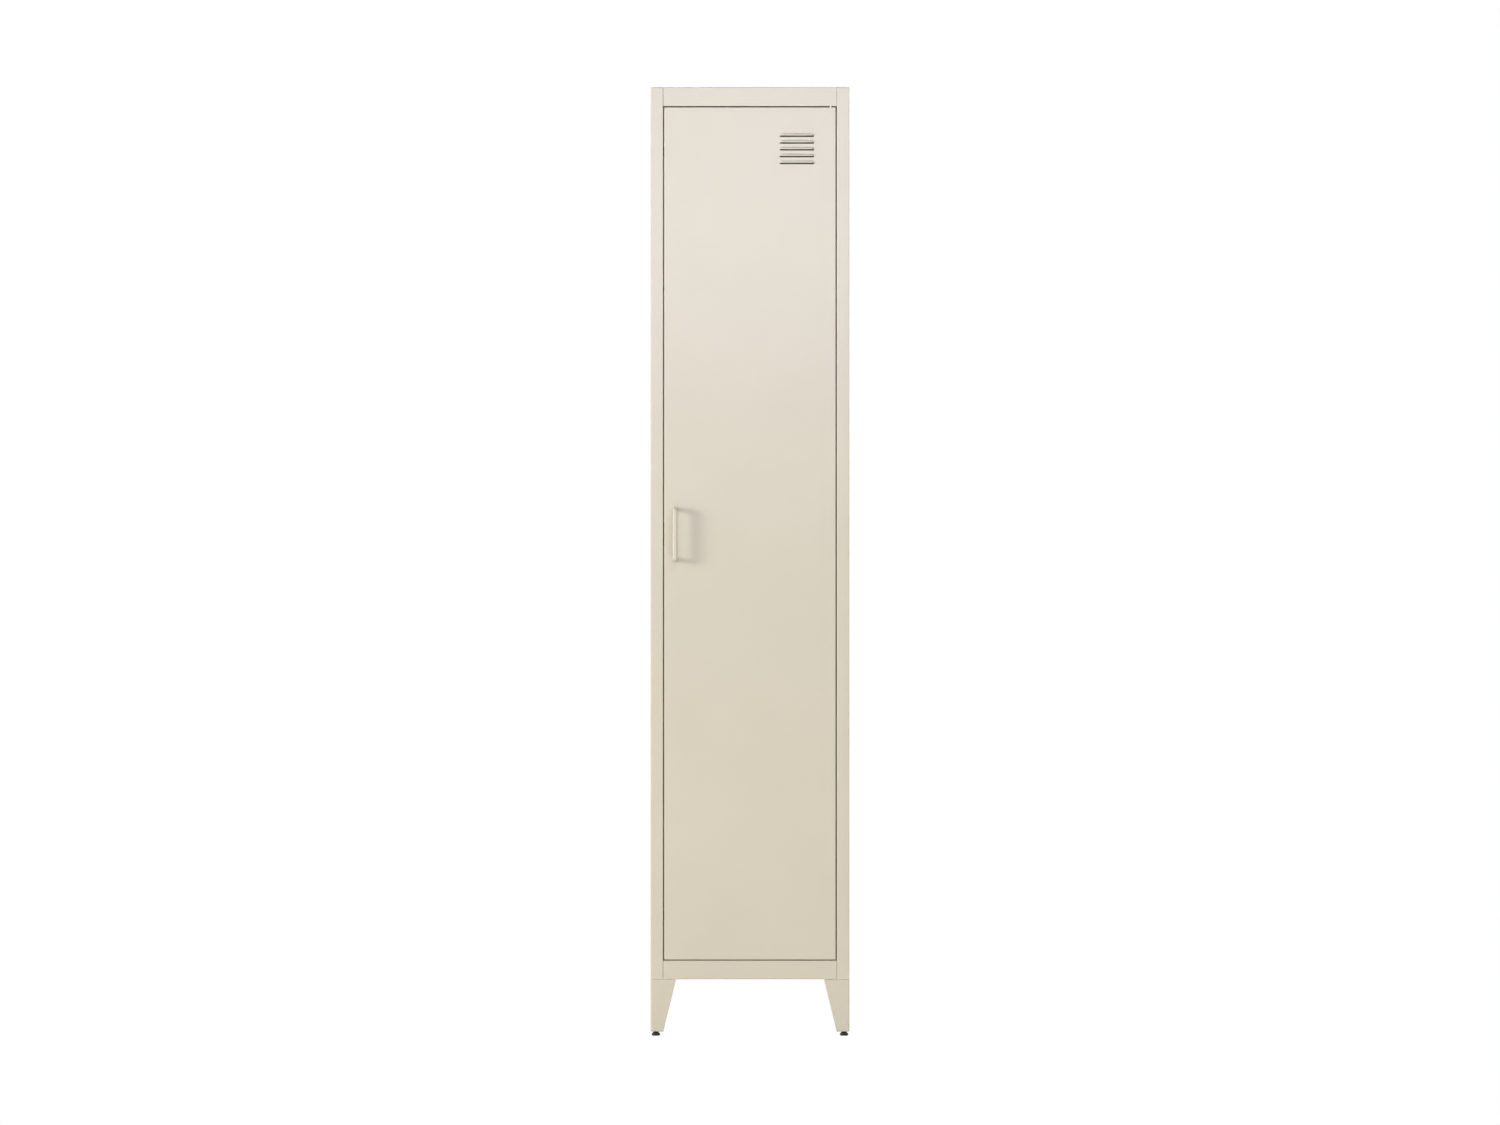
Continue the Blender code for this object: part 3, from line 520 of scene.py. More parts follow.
def back_panel():
    """A flat sheet held inside the rear flanges."""
    low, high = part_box("back_panel")
    bm = bmesh.new()
    spots = [(low.x, low.z), (high.x, low.z), (high.x, high.z), (low.x, high.z)]
    face_through(bm, [(x, high.y, z) for x, z in spots])
    panel = sheet("back_panel_fine", bm, Y)
    round_edges(panel, EDGE)
    show(panel, "body_paint", "back_panel")


def shelf(name):
    """A tray with its edges folded down and in."""
    low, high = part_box(name)
    spots = [(low.x + BEND, low.y + BEND), (high.x - BEND, low.y + BEND)]
    spots += [(high.x - BEND, high.y - BEND), (low.x + BEND, high.y - BEND)]
    ways = [-X - Y, X - Y, X + Y, -X + Y]
    bm = bmesh.new()
    row = face_through(bm, [(x, y, high.z) for x, y in spots])
    row = fold(bm, row, ways, -Z, high.z - low.z - 2 * BEND, is_loop=True)
    lip(bm, row, [-way for way in ways], SHELF_LIP - BEND, -Z)
    tray = sheet(name + "_fine", bm, Z)
    round_edges(tray, EDGE)
    show(tray, "body_paint", name)


def shelf_clip(name, side):
    """A bent angle that hooks into a wall slot and carries the shelf's flange."""
    low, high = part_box(name)
    thick, tongue = 1.5 * MM, high.x - low.x - 14 * MM
    drop, reach = high.z - low.z, 14 * MM
    outline = [(0, -drop), (-thick, -drop), (-thick, -thick), (-reach, -thick), (-reach, 0), (0, 0)]
    upper, lower = -4 * MM, -5 * MM
    outline += [(0, upper), (tongue, upper), (tongue, lower), (0, lower)]
    bends = {2: 0.5 * MM, 5: 1.6 * MM}
    path = []
    for i, (x, z) in enumerate(outline):
        spot = Vector((x, z, 0))
        if i in bends:
            before, after = Vector((*outline[i - 1], 0)), Vector((*outline[i + 1], 0))
            path += rounded([before, spot, after], bends[i], 5)[1:-1]
        else:
            path.append(spot)
    root_x = (low.x if side > 0 else high.x) + side * reach
    bm = bmesh.new()
    rings = []
    for y in (low.y, high.y):
        rings.append([bm.verts.new((root_x + side * spot.x, y, high.z + spot.y)) for spot in path])
    bridge(bm, *rings)
    for ring in rings:
        bm.faces.new(ring)
    clip = closed(name + "_fine", bm)
    round_edges(clip, EDGE)
    show(clip, "zinc_steel", name)


def rail_socket(name, side):
    """A flanged cup that holds one end of the hanging rail."""
    low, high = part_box(name)
    flange = (high.z - low.z) / 2
    length, base = high.x - low.x, 2 * MM
    cup = 13.5 * MM
    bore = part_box("hanging_rail")[1].z - centre_of("hanging_rail").z + GAP
    profile = [(flange - 0.5 * MM, 0), (flange, 0.5 * MM), (flange, base - 0.6 * MM)]
    profile += [(flange - 0.6 * MM, base), (cup + 0.8 * MM, base)]
    profile += [(cup + 0.2 * MM, base + 0.3 * MM), (cup, base + 0.9 * MM)]
    profile += [(cup, length - 0.5 * MM), (cup - 0.5 * MM, length), (bore + 0.4 * MM, length)]
    profile += [(bore, length - 0.4 * MM), (bore, base)]
    middle = centre_of(name)
    root = Vector((high.x if side > 0 else low.x, middle.y, middle.z))
    turn = Matrix.Translation(root) @ Matrix.Rotation(-side * pi / 2, 4, "Y")
    bm = bmesh.new()
    turned(bm, profile, turn=turn)
    show(closed(name + "_fine", bm), "zinc_steel", name)


def hanging_rail():
    """The steel tube that clothes hang from."""
    low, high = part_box("hanging_rail")
    radius, wall, half = (high.z - low.z) / 2, 1.2 * MM, (high.x - low.x) / 2
    chamfer = 0.3 * MM
    profile = [(radius - chamfer, -half), (radius, chamfer - half), (radius, half - chamfer)]
    profile += [(radius - chamfer, half), (radius - wall, half), (radius - wall, -half)]
    turn = Matrix.Translation(centre_of("hanging_rail")) @ ALONG_X
    bm = bmesh.new()
    turned(bm, profile, 64, is_closed=True, turn=turn)
    show(closed("hanging_rail_fine", bm), "zinc_steel", "hanging_rail")


def catch():
    """The magnetic catch: a moulded housing, and a magnet between two steel pole plates."""
    low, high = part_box("catch_housing")
    housing = bmesh.new()
    block(housing, low, high)
    item = closed("catch_housing_fine", housing)
    screw_seats = bmesh.new()
    for share in (0.14, 0.86):
        height = low.z + (high.z - low.z) * share
        place = Matrix.Translation((high.x, (low.y + high.y) / 2, height)) @ ALONG_X
        turned(screw_seats, [(2.6 * MM, -2.2 * MM), (2.6 * MM, 2 * MM)], 32, turn=place)
    cut(item, screw_seats)
    round_edges(item, 0.7 * MM, 3)
    show(item, "black_nylon", "catch_housing")
    low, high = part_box("catch_magnet")
    pole = 1.2 * MM
    magnet, poles = bmesh.new(), bmesh.new()
    block(magnet, (low.x + pole, low.y + 0.4 * MM, low.z), (high.x - pole, high.y, high.z))
    for edge in (low.x, high.x - pole):
        block(poles, (edge, low.y, low.z), (edge + pole, high.y, high.z))
    magnet, poles = closed("catch_magnet_fine", magnet), closed("catch_poles", poles)
    round_edges(magnet, 0.25 * MM)
    round_edges(poles, 0.2 * MM)
    show(magnet, "ferrite", "catch_magnet")
    show(poles, "zinc_steel", "catch_magnet", replace=False)


def soft_block(name, slot, edge, groove_count):
    """A small moulded block with well rounded edges, and grooves across its front."""
    low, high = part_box(name)
    middle, half = (low + high) / 2, high.x - low.x
    bm = bmesh.new()
    block(bm, low, high)
    item = closed(name + "_fine", bm)
    round_edges(item, edge, 4)
    grooves = bmesh.new()
    for i in range(groove_count):
        height = low.z + (high.z - low.z) * (i + 1) / (groove_count + 1)
        turn = Matrix.Translation((middle.x, low.y, height)) @ ALONG_X
        turned(grooves, [(0.4 * MM, -half), (0.4 * MM, half)], 16, turn=turn)
    cut(item, grooves)
    show(item, slot, name)


def hinge_bush(name, collar_height):
    """A flanged nylon bush. Its collar is at the top."""
    low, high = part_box(name)
    collar, edge = (high.x - low.x) / 2, 0.2 * MM
    step = high.z - collar_height
    profile = [(PIN_HOLE, low.z), (BUSH_BARREL - edge, low.z)]
    profile += [(BUSH_BARREL, low.z + edge), (BUSH_BARREL, step)]
    profile += [(collar - edge / 2, step), (collar, step + edge), (collar, high.z - edge)]
    profile += [(collar - edge, high.z), (PIN_HOLE + edge, high.z), (PIN_HOLE, high.z - edge)]
    bm = bmesh.new()
    turned(bm, profile, is_closed=True, turn=ON_HINGE)
    show(closed(name + "_fine", bm), "black_nylon", name)


# Legs and feet


def corners():
    """Each corner's name, with its side and its end: -1 is left and front, 1 is right and rear."""
    sides = (("left", -1), ("right", 1))
    ends = (("front", -1), ("rear", 1))
    return [(f"{end[0]}_{side[0]}", (side[1], end[1])) for end in ends for side in sides]


def centre_of(node):
    """The middle of a node's box."""
    low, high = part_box(node)
    return (low + high) / 2


def leg(name, corner):
    """A tapered angle with a plate to bolt to the body and one to carry the foot."""
    side, end = corner
    node = "leg_" + name
    low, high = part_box(node)
    outer_x = high.x if side > 0 else low.x
    outer_y = high.y if end > 0 else low.y
    inside, inward = X * -side, Y * -end
    top_width = high.x - low.x
    foot_z, top_z = low.z + LEG_BEND, high.z - LEG_BEND
    spots = [(LEG_BEND, foot_z), (LEG_FOOT_WIDTH, foot_z), (top_width, top_z), (LEG_BEND, top_z)]
    bm = bmesh.new()
    points = face_through(bm, [(outer_x - side * u, outer_y, z) for u, z in spots])
    fold(bm, [points[3], points[2]], Z, inward, top_width - 2 * LEG_BEND, LEG_BEND)
    fold(bm, [points[0], points[1]], -Z, inward, LEG_FOOT_WIDTH - 2 * LEG_BEND, LEG_BEND)
    row = [points[0], points[3]]
    rise = Z * LEG_BEND
    for out, down in bend_moves(LEG_BEND):
        move = -inside * out + inward * down
        row = strip(bm, row, [move - rise, move + rise])
        rise = Z * 0
    strip(bm, row, [inward * (LEG_FOOT_WIDTH - LEG_BEND), inward * (top_width - LEG_BEND)])
    item = sheet(node + "_fine", bm, -inward, LEG_SHEET)
    holes = bmesh.new()
    bolt, stud = centre_of("leg_bolt_" + name), centre_of("foot_stud_" + name)
    place = Matrix.Translation((bolt.x, bolt.y, high.z))
    turned(holes, [(BOLT_RADIUS + LOOSE, -5 * MM), (BOLT_RADIUS + LOOSE, 3 * MM)], turn=place)
    place = Matrix.Translation((stud.x, stud.y, low.z))
    turned(holes, [(STUD_RADIUS + LOOSE, -3 * MM), (STUD_RADIUS + LOOSE, 5 * MM)], turn=place)
    cut(item, holes)
    round_edges(item, 2 * EDGE)
    show(item, "body_paint", node)


def hex_levels(flats, low, high, chamfer_low=True, chamfer_high=True):
    """The outlines of a hexagon head or nut with its corners turned off."""
    turned_off, bite = circle(flats * 0.475), flats * 0.07
    levels = [(hexagon(flats), low + bite * chamfer_low), (hexagon(flats), high - bite * chamfer_high)]
    if chamfer_low:
        levels.insert(0, (turned_off, low))
    if chamfer_high:
        levels.append((turned_off, high))
    return levels


def leg_bolt(name):
    """A hexagon bolt from under the leg's plate, with its thread."""
    node = "leg_bolt_" + name
    low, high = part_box(node)
    middle = centre_of(node)
    turn = Matrix.Translation((middle.x, middle.y, 0))
    under_plate = low.z + BOLT_HEAD
    bm = bmesh.new()
    stack(bm, hex_levels(BOLT_FLATS, low.z, under_plate, chamfer_high=False), turn=turn)
    thread(bm, BOLT_RADIUS, BOLT_PITCH, under_plate - 0.5 * MM, high.z, turn)
    show(closed(node + "_fine", bm), "zinc_steel", node)


def nut(node, bore):
    """A hexagon nut with both faces chamfered."""
    low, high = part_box(node)
    middle = centre_of(node)
    flats = min(high.x - low.x, high.y - low.y)
    levels = hex_levels(flats - 0.02 * MM, low.z, high.z)
    levels += [(circle(bore + 0.5 * MM), high.z), (circle(bore), high.z - 0.5 * MM)]
    levels += [(circle(bore), low.z + 0.5 * MM), (circle(bore + 0.5 * MM), low.z)]
    bm = bmesh.new()
    stack(bm, levels, is_closed=True, turn=Matrix.Translation((middle.x, middle.y, 0)))
    show(closed(node + "_fine", bm), "zinc_steel", node)


def foot(name):
    """A levelling foot: a moulded pad on a threaded stud."""
    pad, stud = "foot_pad_" + name, "foot_stud_" + name
    low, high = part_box(pad)
    middle = centre_of(pad)
    turn = Matrix.Translation((middle.x, middle.y, 0))
    rim, top = (high.x - low.x) / 2, high.z
    neck, socket, socket_floor = 5.5 * MM, 4.2 * MM, 3.6 * MM
    profile = [(socket, socket_floor), (socket, top), (neck, top), (neck, top - 1.4 * MM)]
    profile += [(rim - 0.1 * MM, 4.9 * MM), (rim, 2.6 * MM), (rim - 0.6 * MM, 0.9 * MM), (neck, 0)]
    profile = rounded([(r, 0, z) for r, z in profile], 0.7 * MM, 4)
    bm = bmesh.new()
    turned(bm, [(spot.x, spot.z) for spot in profile], turn=turn)
    show(closed(pad + "_fine", bm), "black_nylon", pad)
    low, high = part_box(stud)
    bm = bmesh.new()
    thread(bm, STUD_RADIUS, STUD_PITCH, low.z, high.z, turn)
    show(closed(stud + "_fine", bm), "zinc_steel", stud)


# Door


def hood_section():
    """The louvre's section as (way in from its crease, rise): a fillet, a steep wall and a flat face."""
    outline = [(0, 0, 0), (0.4 * MM, 0, 0), (2.2 * MM, LOUVRE_DEPTH * 0.92, 0)]
    outline.append((LOUVRE_HOOD, LOUVRE_DEPTH, 0))
    return [(spot.x, spot.y) for spot in rounded(outline, 0.5 * MM, 5)]


def hood_spokes(lip_z):
    """Each spoke's outer end and inner end: quarter circles at both ends and straight between them."""
    left, right = LOUVRE_LEFT + LOUVRE_HOOD, LOUVRE_LEFT + LOUVRE_WIDTH - LOUVRE_HOOD
    left_centre, right_centre = Vector((left, FRONT, lip_z)), Vector((right, FRONT, lip_z))
    left_arc = arc(left_centre, -X * LOUVRE_HOOD, Z * LOUVRE_HOOD, 10)
    right_arc = arc(right_centre, Z * LOUVRE_HOOD, X * LOUVRE_HOOD, 10)
    return [(spot, left_centre) for spot in left_arc] + [(spot, right_centre) for spot in right_arc]


def louvre(bm, cut_z):
    """One hood over its slot. Returns the hood's edge on the door's face and the slot's lower edge."""
    spokes = hood_spokes(cut_z + LOUVRE_SLOT)
    rows = []
    for way_in, rise in hood_section():
        share = way_in / LOUVRE_HOOD
        places = [outer.lerp(inner, share) - Y * rise for outer, inner in spokes]
        rows.append([bm.verts.new(place) for place in places])
    for row, next_row in zip(rows, rows[1:]):
        for i in range(len(spokes) - 1):
            bm.faces.new((row[i], row[i + 1], next_row[i + 1], next_row[i]))
    ends = (LOUVRE_LEFT, LOUVRE_LEFT + LOUVRE_WIDTH)
    return rows[0], [bm.verts.new((x, FRONT, cut_z)) for x in ends]


def door_front(bm):
    """The door's flat face with the louvres in it. Returns the four corners."""
    half, low, high = DOOR_HIGH.x - BEND, DOOR_LOW.z + BEND, DOOR_HIGH.z - BEND
    spots = [(-half, low), (half, low), (half, high), (-half, high)]
    edge = [bm.verts.new((x, FRONT, z)) for x, z in spots]
    hoods = [louvre(bm, LOWEST_CUT + LOUVRE_PITCH * i) for i in range(LOUVRE_COUNT)]
    left, right = [], []
    for crease, slot_edge in hoods:
        left += [slot_edge[0], crease[0]]
        right += [slot_edge[1], crease[-1]]
    bm.faces.new([edge[0], *left, edge[3]])
    bm.faces.new([edge[2], *reversed(right), edge[1]])
    bm.faces.new([edge[1], *reversed(hoods[0][1]), edge[0]])
    bm.faces.new([edge[3], *hoods[-1][0], edge[2]])
    for (crease, _), (_, slot_edge) in zip(hoods, hoods[1:]):
        bm.faces.new([*crease, *reversed(slot_edge)])
    return edge


def door_panel():
    """The door's pan: a flat front with louvres, edges folded back and lips folded in."""
    bm = bmesh.new()
    edge = door_front(bm)
    ways = [-X - Z, X - Z, X + Z, -X + Z]
    row = fold(bm, edge, ways, Y, DOOR_HIGH.y - FRONT - 2 * BEND, is_loop=True)
    lip(bm, row, [-way for way in ways], DOOR_LIP - BEND, Y)
    bmesh.ops.remove_doubles(bm, verts=bm.verts, dist=0.01 * MM)
    bm.faces.ensure_lookup_table()
    panel = sheet("door_panel_fine", bm, -Y)
    holes = bmesh.new()
    for height in (DOOR_LOW.z, DOOR_HIGH.z):
        place = Matrix.Translation((HINGE.x, HINGE.y, height))
        slab(holes, circle(PIN_HOLE), -3 * MM, 3 * MM, place)
    screw_holes(holes, 3 * MM)
    cut(panel, holes)
    round_edges(panel, EDGE)
    show(panel, "body_paint", "door_panel")


def door_stiffener():
    """A hat channel down the middle of the door, behind its face."""
    low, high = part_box("door_stiffener")
    inner_bend, flange = BEND - SHEET, 10 * MM
    crown = (high.x - low.x) / 2 - flange - BEND - inner_bend
    bm = bmesh.new()
    spots = [(-crown, low.z), (crown, low.z), (crown, high.z), (-crown, high.z)]
    points = face_through(bm, [(x, high.y, z) for x, z in spots])
    web = high.y - low.y - SHEET - BEND - inner_bend
    for row, way in (([points[0], points[3]], -X), ([points[1], points[2]], X)):
        row = fold(bm, row, way, -Y, web)
        fold(bm, row, -Y, way, flange, radius=inner_bend)
    item = sheet("door_stiffener_fine", bm, Y)
    round_edges(item, EDGE)
    show(item, "body_paint", "door_stiffener")


def screw_heights():
    """The heights of the handle's two screws, the lower one first."""
    return [centre_of("handle_screw_" + end_name).z for end_name in ("lower", "upper")]


def screw_holes(bm, depth):
    """Rods for the handle's two screw holes, from inside the door's face to the depth given."""
    handle_x = centre_of("handle").x
    for height in screw_heights():
        turn = Matrix.Translation((handle_x, FRONT, height)) @ OUT_OF_FRONT
        slab(bm, circle(SCREW_RADIUS + GAP, 32), -3 * MM, depth, turn)


def handle():
    """A bow handle of one bent bar, with a blind hole in each foot for its screw."""
    lower, upper = screw_heights()
    half = (upper - lower) / 2
    centre = Vector((centre_of("handle").x, 0, (lower + upper) / 2))
    out, base, bend = HANDLE_LOW.y + HANDLE_BAR / 2, HANDLE_HIGH.y, HANDLE_BEND
    low_bend = arc(centre + Y * (out + bend) - Z * (half - bend), -Z * bend, -Y * bend, 12)
    high_bend = arc(centre + Y * (out + bend) + Z * (half - bend), -Y * bend, Z * bend, 12)
    path = [centre + Y * base - Z * half, *low_bend, *high_bend, centre + Y * base + Z * half]
    reach = HANDLE_BAR / 2
    square = [(-reach, -reach, 0), (reach, -reach, 0), (reach, reach, 0), (-reach, reach, 0)]
    outline = rounded(square, HANDLE_CORNER, 6, is_loop=True)
    bm = bmesh.new()
    tube(bm, path, [outline] * len(path), side=X)
    item = closed("handle_fine", bm)
    holes = bmesh.new()
    screw_holes(holes, 12 * MM)
    cut(item, holes)
    show(item, "body_paint", "handle")


def handle_screw(end_name):
    """A pan-head screw from inside the door into the handle, with a cross recess."""
    node = "handle_screw_" + end_name
    low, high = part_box(node)
    middle = centre_of(node)
    head, tall = (high.x - low.x) / 2, 2.6 * MM
    seat = high.y - tall
    turn = Matrix.Translation((middle.x, seat, middle.z)) @ OUT_OF_FRONT
    crown = [(head * cos(pi / 2 * i / 8), -tall * (0.35 + 0.65 * sin(pi / 2 * i / 8))) for i in range(8)]
    bm = bmesh.new()
    turned(bm, [(head, 0)] + crown, turn=turn)
    item = closed(node + "_fine", bm)
    long, wide = 2.2 * MM, 0.45 * MM
    for reach, half in ((long, wide), (wide, long)):
        spots = [(-reach, -half), (reach, -half), (reach, half), (-reach, half)]
        outer = [Vector((x, y, 0)) for x, y in spots]
        inner = [spot * 0.6 for spot in outer]
        recess = bmesh.new()
        stack(recess, [(outer, -tall - 1 * MM), (inner, -tall + 1.5 * MM)], turn=turn)
        cut(item, recess)
    rod = bmesh.new()
    thread(rod, SCREW_RADIUS, SCREW_PITCH, -0.4 * MM, seat - low.y, turn)
    rod_item = closed("rod", rod)
    join = item.modifiers.new("join", "BOOLEAN")
    join.operation = "UNION"
    join.object = rod_item
    settle(item)
    bpy.data.objects.remove(rod_item, do_unlink=True)
    show(item, "zinc_steel", node)


def hinge_bracket():
    """A channel inside the door's top corner that guides the sprung pin."""
    low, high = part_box("hinge_bracket")
    thickness, bend = 1.5 * MM, 1.8 * MM
    bm = bmesh.new()
    foot_z, top_z = low.z + bend, high.z - bend
    spots = [(low.x, foot_z), (high.x, foot_z), (high.x, top_z), (low.x, top_z)]
    points = face_through(bm, [(x, high.y, z) for x, z in spots])
    ear = high.y - low.y - bend
    fold(bm, points[:2], -Z, -Y, ear, bend)
    fold(bm, points[2:], Z, -Y, ear, bend)
    bracket = sheet("hinge_bracket_fine", bm, Y, thickness)
    hole = bmesh.new()
    slab(hole, circle(PIN_HOLE), low.z - 5 * MM, high.z + 5 * MM, ON_HINGE)
    cut(bracket, hole)
    round_edges(bracket, EDGE)
    show(bracket, "zinc_steel", "hinge_bracket")


def hinge_pin_lower():
    """The fixed lower pin, headed inside the door."""
    low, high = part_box("hinge_pin_lower")
    head = (high.x - low.x) / 2
    seat = DOOR_LOW.z + SHEET + GAP
    profile = [(PIN_TIP, low.z), (PIN_RADIUS, low.z + 0.7 * MM), (PIN_RADIUS, seat)]
    profile += [(head - 0.2 * MM, seat), (head, seat + 0.2 * MM), (head, high.z - 1 * MM)]
    profile += [(head - 0.5 * MM, high.z - 0.3 * MM), (head - 1.3 * MM, high.z)]
    bm = bmesh.new()
    turned(bm, profile, turn=ON_HINGE)
    show(closed("hinge_pin_lower_fine", bm), "zinc_steel", "hinge_pin_lower")


def hinge_pin_upper():
    """The sprung upper pin, with a collar and a bent finger grip."""
    low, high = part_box("hinge_pin_upper")
    collar, collar_height, elbow_bend = 3.6 * MM, 1.7 * MM, 4 * MM
    collar_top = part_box("hinge_spring")[1].z + GAP + collar_height
    finger_z = low.z + PIN_RADIUS
    axis = Vector((HINGE.x, HINGE.y, 0))
    levels = [(high.z, PIN_TIP), (high.z - 0.8 * MM, PIN_RADIUS), (collar_top, PIN_RADIUS)]
    levels += [(collar_top - 0.02 * MM, collar - 0.2 * MM), (collar_top - 0.25 * MM, collar)]
    levels += [(collar_top - collar_height + 0.25 * MM, collar)]
    levels += [(collar_top - collar_height + 0.02 * MM, collar - 0.2 * MM)]
    levels += [(collar_top - collar_height, PIN_RADIUS)]
    points = [axis + Z * height for height, _ in levels]
    outlines = [circle(radius, 32) for _, radius in levels]
    elbow = arc(axis + Z * (finger_z + elbow_bend) - X * elbow_bend, X * elbow_bend, -Z * elbow_bend, 10)
    tip = Vector((low.x, HINGE.y, finger_z))
    grip = [*elbow, tip + X * 0.6 * MM, tip + X * 0.15 * MM, tip]
    points += grip
    outlines += [circle(PIN_RADIUS, 32)] * (len(grip) - 2)
    outlines += [circle(PIN_RADIUS - 0.2 * MM, 32), circle(PIN_RADIUS - 0.6 * MM, 32)]
    bm = bmesh.new()
    tube(bm, points, outlines)
    show(closed("hinge_pin_upper_fine", bm), "zinc_steel", "hinge_pin_upper")


def hinge_spring(turns=6, steps=28):
    """The coil spring round the upper pin, with flat end coils."""
    low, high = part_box("hinge_spring")
    wire, coil = 0.5 * MM, 3.0 * MM
    height = high.z - low.z - 2 * wire
    points = []
    for i in range(turns * steps + 1):
        angle = 2 * pi * i / steps
        share = i / (turns * steps)
        eased = share - 0.06 * sin(2 * pi * share)
        spot = Vector((coil * cos(angle), coil * sin(angle), wire + height * eased))
        points.append(spot + Vector((HINGE.x, HINGE.y, low.z)))
    bm = bmesh.new()
    tube(bm, points, [circle(wire, 12)] * len(points), side=Z)
    item = show(closed("hinge_spring_fine", bm), "spring_steel", "hinge_spring")
    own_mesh(item)


# Finishes


def new_finish(slot, colour, roughness, metallic=0.0):
    """A material with a Principled shader, and the object's own coordinates."""
    material = bpy.data.materials.new(slot)
    material.use_nodes = True
    tree = material.node_tree
    shader = tree.nodes["Principled BSDF"]
    shader.inputs["Base Color"].default_value = (*colour, 1)
    shader.inputs["Roughness"].default_value = roughness
    shader.inputs["Metallic"].default_value = metallic
    place = tree.nodes.new("ShaderNodeTexCoord").outputs["Object"]
    finishes[slot] = material
    return tree, shader, place


def noise(tree, place, scale, detail=2.0, stretch=(1, 1, 1)):
    """Noise with the number of cells in a metre given, stretched along some axes."""
    mapping = tree.nodes.new("ShaderNodeMapping")
    mapping.inputs["Scale"].default_value = stretch
    tree.links.new(place, mapping.inputs["Vector"])
    texture = tree.nodes.new("ShaderNodeTexNoise")
    texture.inputs["Scale"].default_value = scale
    texture.inputs["Detail"].default_value = detail
    tree.links.new(mapping.outputs["Vector"], texture.inputs["Vector"])
    return texture.outputs["Fac"]


def spread(tree, value, low, high):
    """Take noise's middle range to the two values given."""
    ramp = tree.nodes.new("ShaderNodeMapRange")
    ramp.inputs["From Min"].default_value = 0.3
    ramp.inputs["From Max"].default_value = 0.7
    ramp.inputs["To Min"].default_value = low
    ramp.inputs["To Max"].default_value = high
    tree.links.new(value, ramp.inputs["Value"])
    return ramp.outputs["Result"]


def blend_colours(tree, value, dark, light):
    """Mix two colours by noise."""
    ramp = tree.nodes.new("ShaderNodeValToRGB")
    ramp.color_ramp.elements[0].position = 0.3
    ramp.color_ramp.elements[0].color = (*dark, 1)
    ramp.color_ramp.elements[1].position = 0.7
    ramp.color_ramp.elements[1].color = (*light, 1)
    tree.links.new(value, ramp.inputs["Fac"])
    return ramp.outputs["Color"]


def add_bump(tree, shader, height, depth, under=None):
    """Raise the surface by a height value, over another bump where one is given."""
    bump = tree.nodes.new("ShaderNodeBump")
    bump.inputs["Strength"].default_value = 1
    bump.inputs["Distance"].default_value = depth
    tree.links.new(height, bump.inputs["Height"])
    if under:
        tree.links.new(under, bump.inputs["Normal"])
    tree.links.new(bump.outputs["Normal"], shader.inputs["Normal"])
    return bump.outputs["Normal"]


def body_paint():
    """Satin powder coat: fine orange peel over a slow ripple, with faint clouds of colour and gloss."""
    colour = Vector((0.70, 0.65, 0.54))
    tree, shader, place = new_finish("body_paint", colour, 0.4)
    clouds = noise(tree, place, 5, 3)
    tint = blend_colours(tree, clouds, colour * 0.985, colour * 1.015)
    tree.links.new(tint, shader.inputs["Base Color"])
    tree.links.new(spread(tree, noise(tree, place, 40, 4), 0.36, 0.44), shader.inputs["Roughness"])
    ripple = add_bump(tree, shader, noise(tree, place, 90, 1), 0.035 * MM)
    add_bump(tree, shader, noise(tree, place, 620, 2), 0.022 * MM, ripple)


def zinc_steel():
    """Bright zinc plate: soft blotches, a slight yellow and blue play of colour and fine scratches."""
    tree, shader, place = new_finish("zinc_steel", (0.62, 0.62, 0.60), 0.32, 1.0)
    tint = blend_colours(tree, noise(tree, place, 160, 3), (0.58, 0.59, 0.60), (0.66, 0.65, 0.61))
    tree.links.new(tint, shader.inputs["Base Color"])
    tree.links.new(spread(tree, noise(tree, place, 260, 4), 0.26, 0.42), shader.inputs["Roughness"])
    scratches = noise(tree, place, 900, 2, (0.08, 1, 1))
    add_bump(tree, shader, scratches, 0.006 * MM)


def spring_steel():
    """Drawn wire: dark, with marks along the wire."""
    tree, shader, place = new_finish("spring_steel", (0.42, 0.42, 0.43), 0.3, 1.0)
    tint = blend_colours(tree, noise(tree, place, 700, 3), (0.36, 0.36, 0.38), (0.48, 0.47, 0.46))
    tree.links.new(tint, shader.inputs["Base Color"])
    tree.links.new(spread(tree, noise(tree, place, 900, 2), 0.24, 0.4), shader.inputs["Roughness"])
    add_bump(tree, shader, noise(tree, place, 2400, 1, (1, 1, 0.2)), 0.004 * MM)


def black_nylon():
    """Moulded nylon with a fine eroded grain and a slight bloom."""
    tree, shader, place = new_finish("black_nylon", (0.03, 0.03, 0.032), 0.5)
    tint = blend_colours(tree, noise(tree, place, 220, 4), (0.015, 0.015, 0.016), (0.024, 0.024, 0.026))
    tree.links.new(tint, shader.inputs["Base Color"])
    tree.links.new(spread(tree, noise(tree, place, 320, 2), 0.42, 0.58), shader.inputs["Roughness"])
    add_bump(tree, shader, noise(tree, place, 1600, 3), 0.02 * MM)


def black_rubber():
    """Moulded rubber: matt, with a coarse grain and dust in it."""
    tree, shader, place = new_finish("black_rubber", (0.025, 0.025, 0.025), 0.8)
    tint = blend_colours(tree, noise(tree, place, 500, 5), (0.02, 0.02, 0.02), (0.04, 0.039, 0.037))
    tree.links.new(tint, shader.inputs["Base Color"])
    tree.links.new(spread(tree, noise(tree, place, 300, 2), 0.7, 0.88), shader.inputs["Roughness"])
    add_bump(tree, shader, noise(tree, place, 1100, 4), 0.04 * MM)


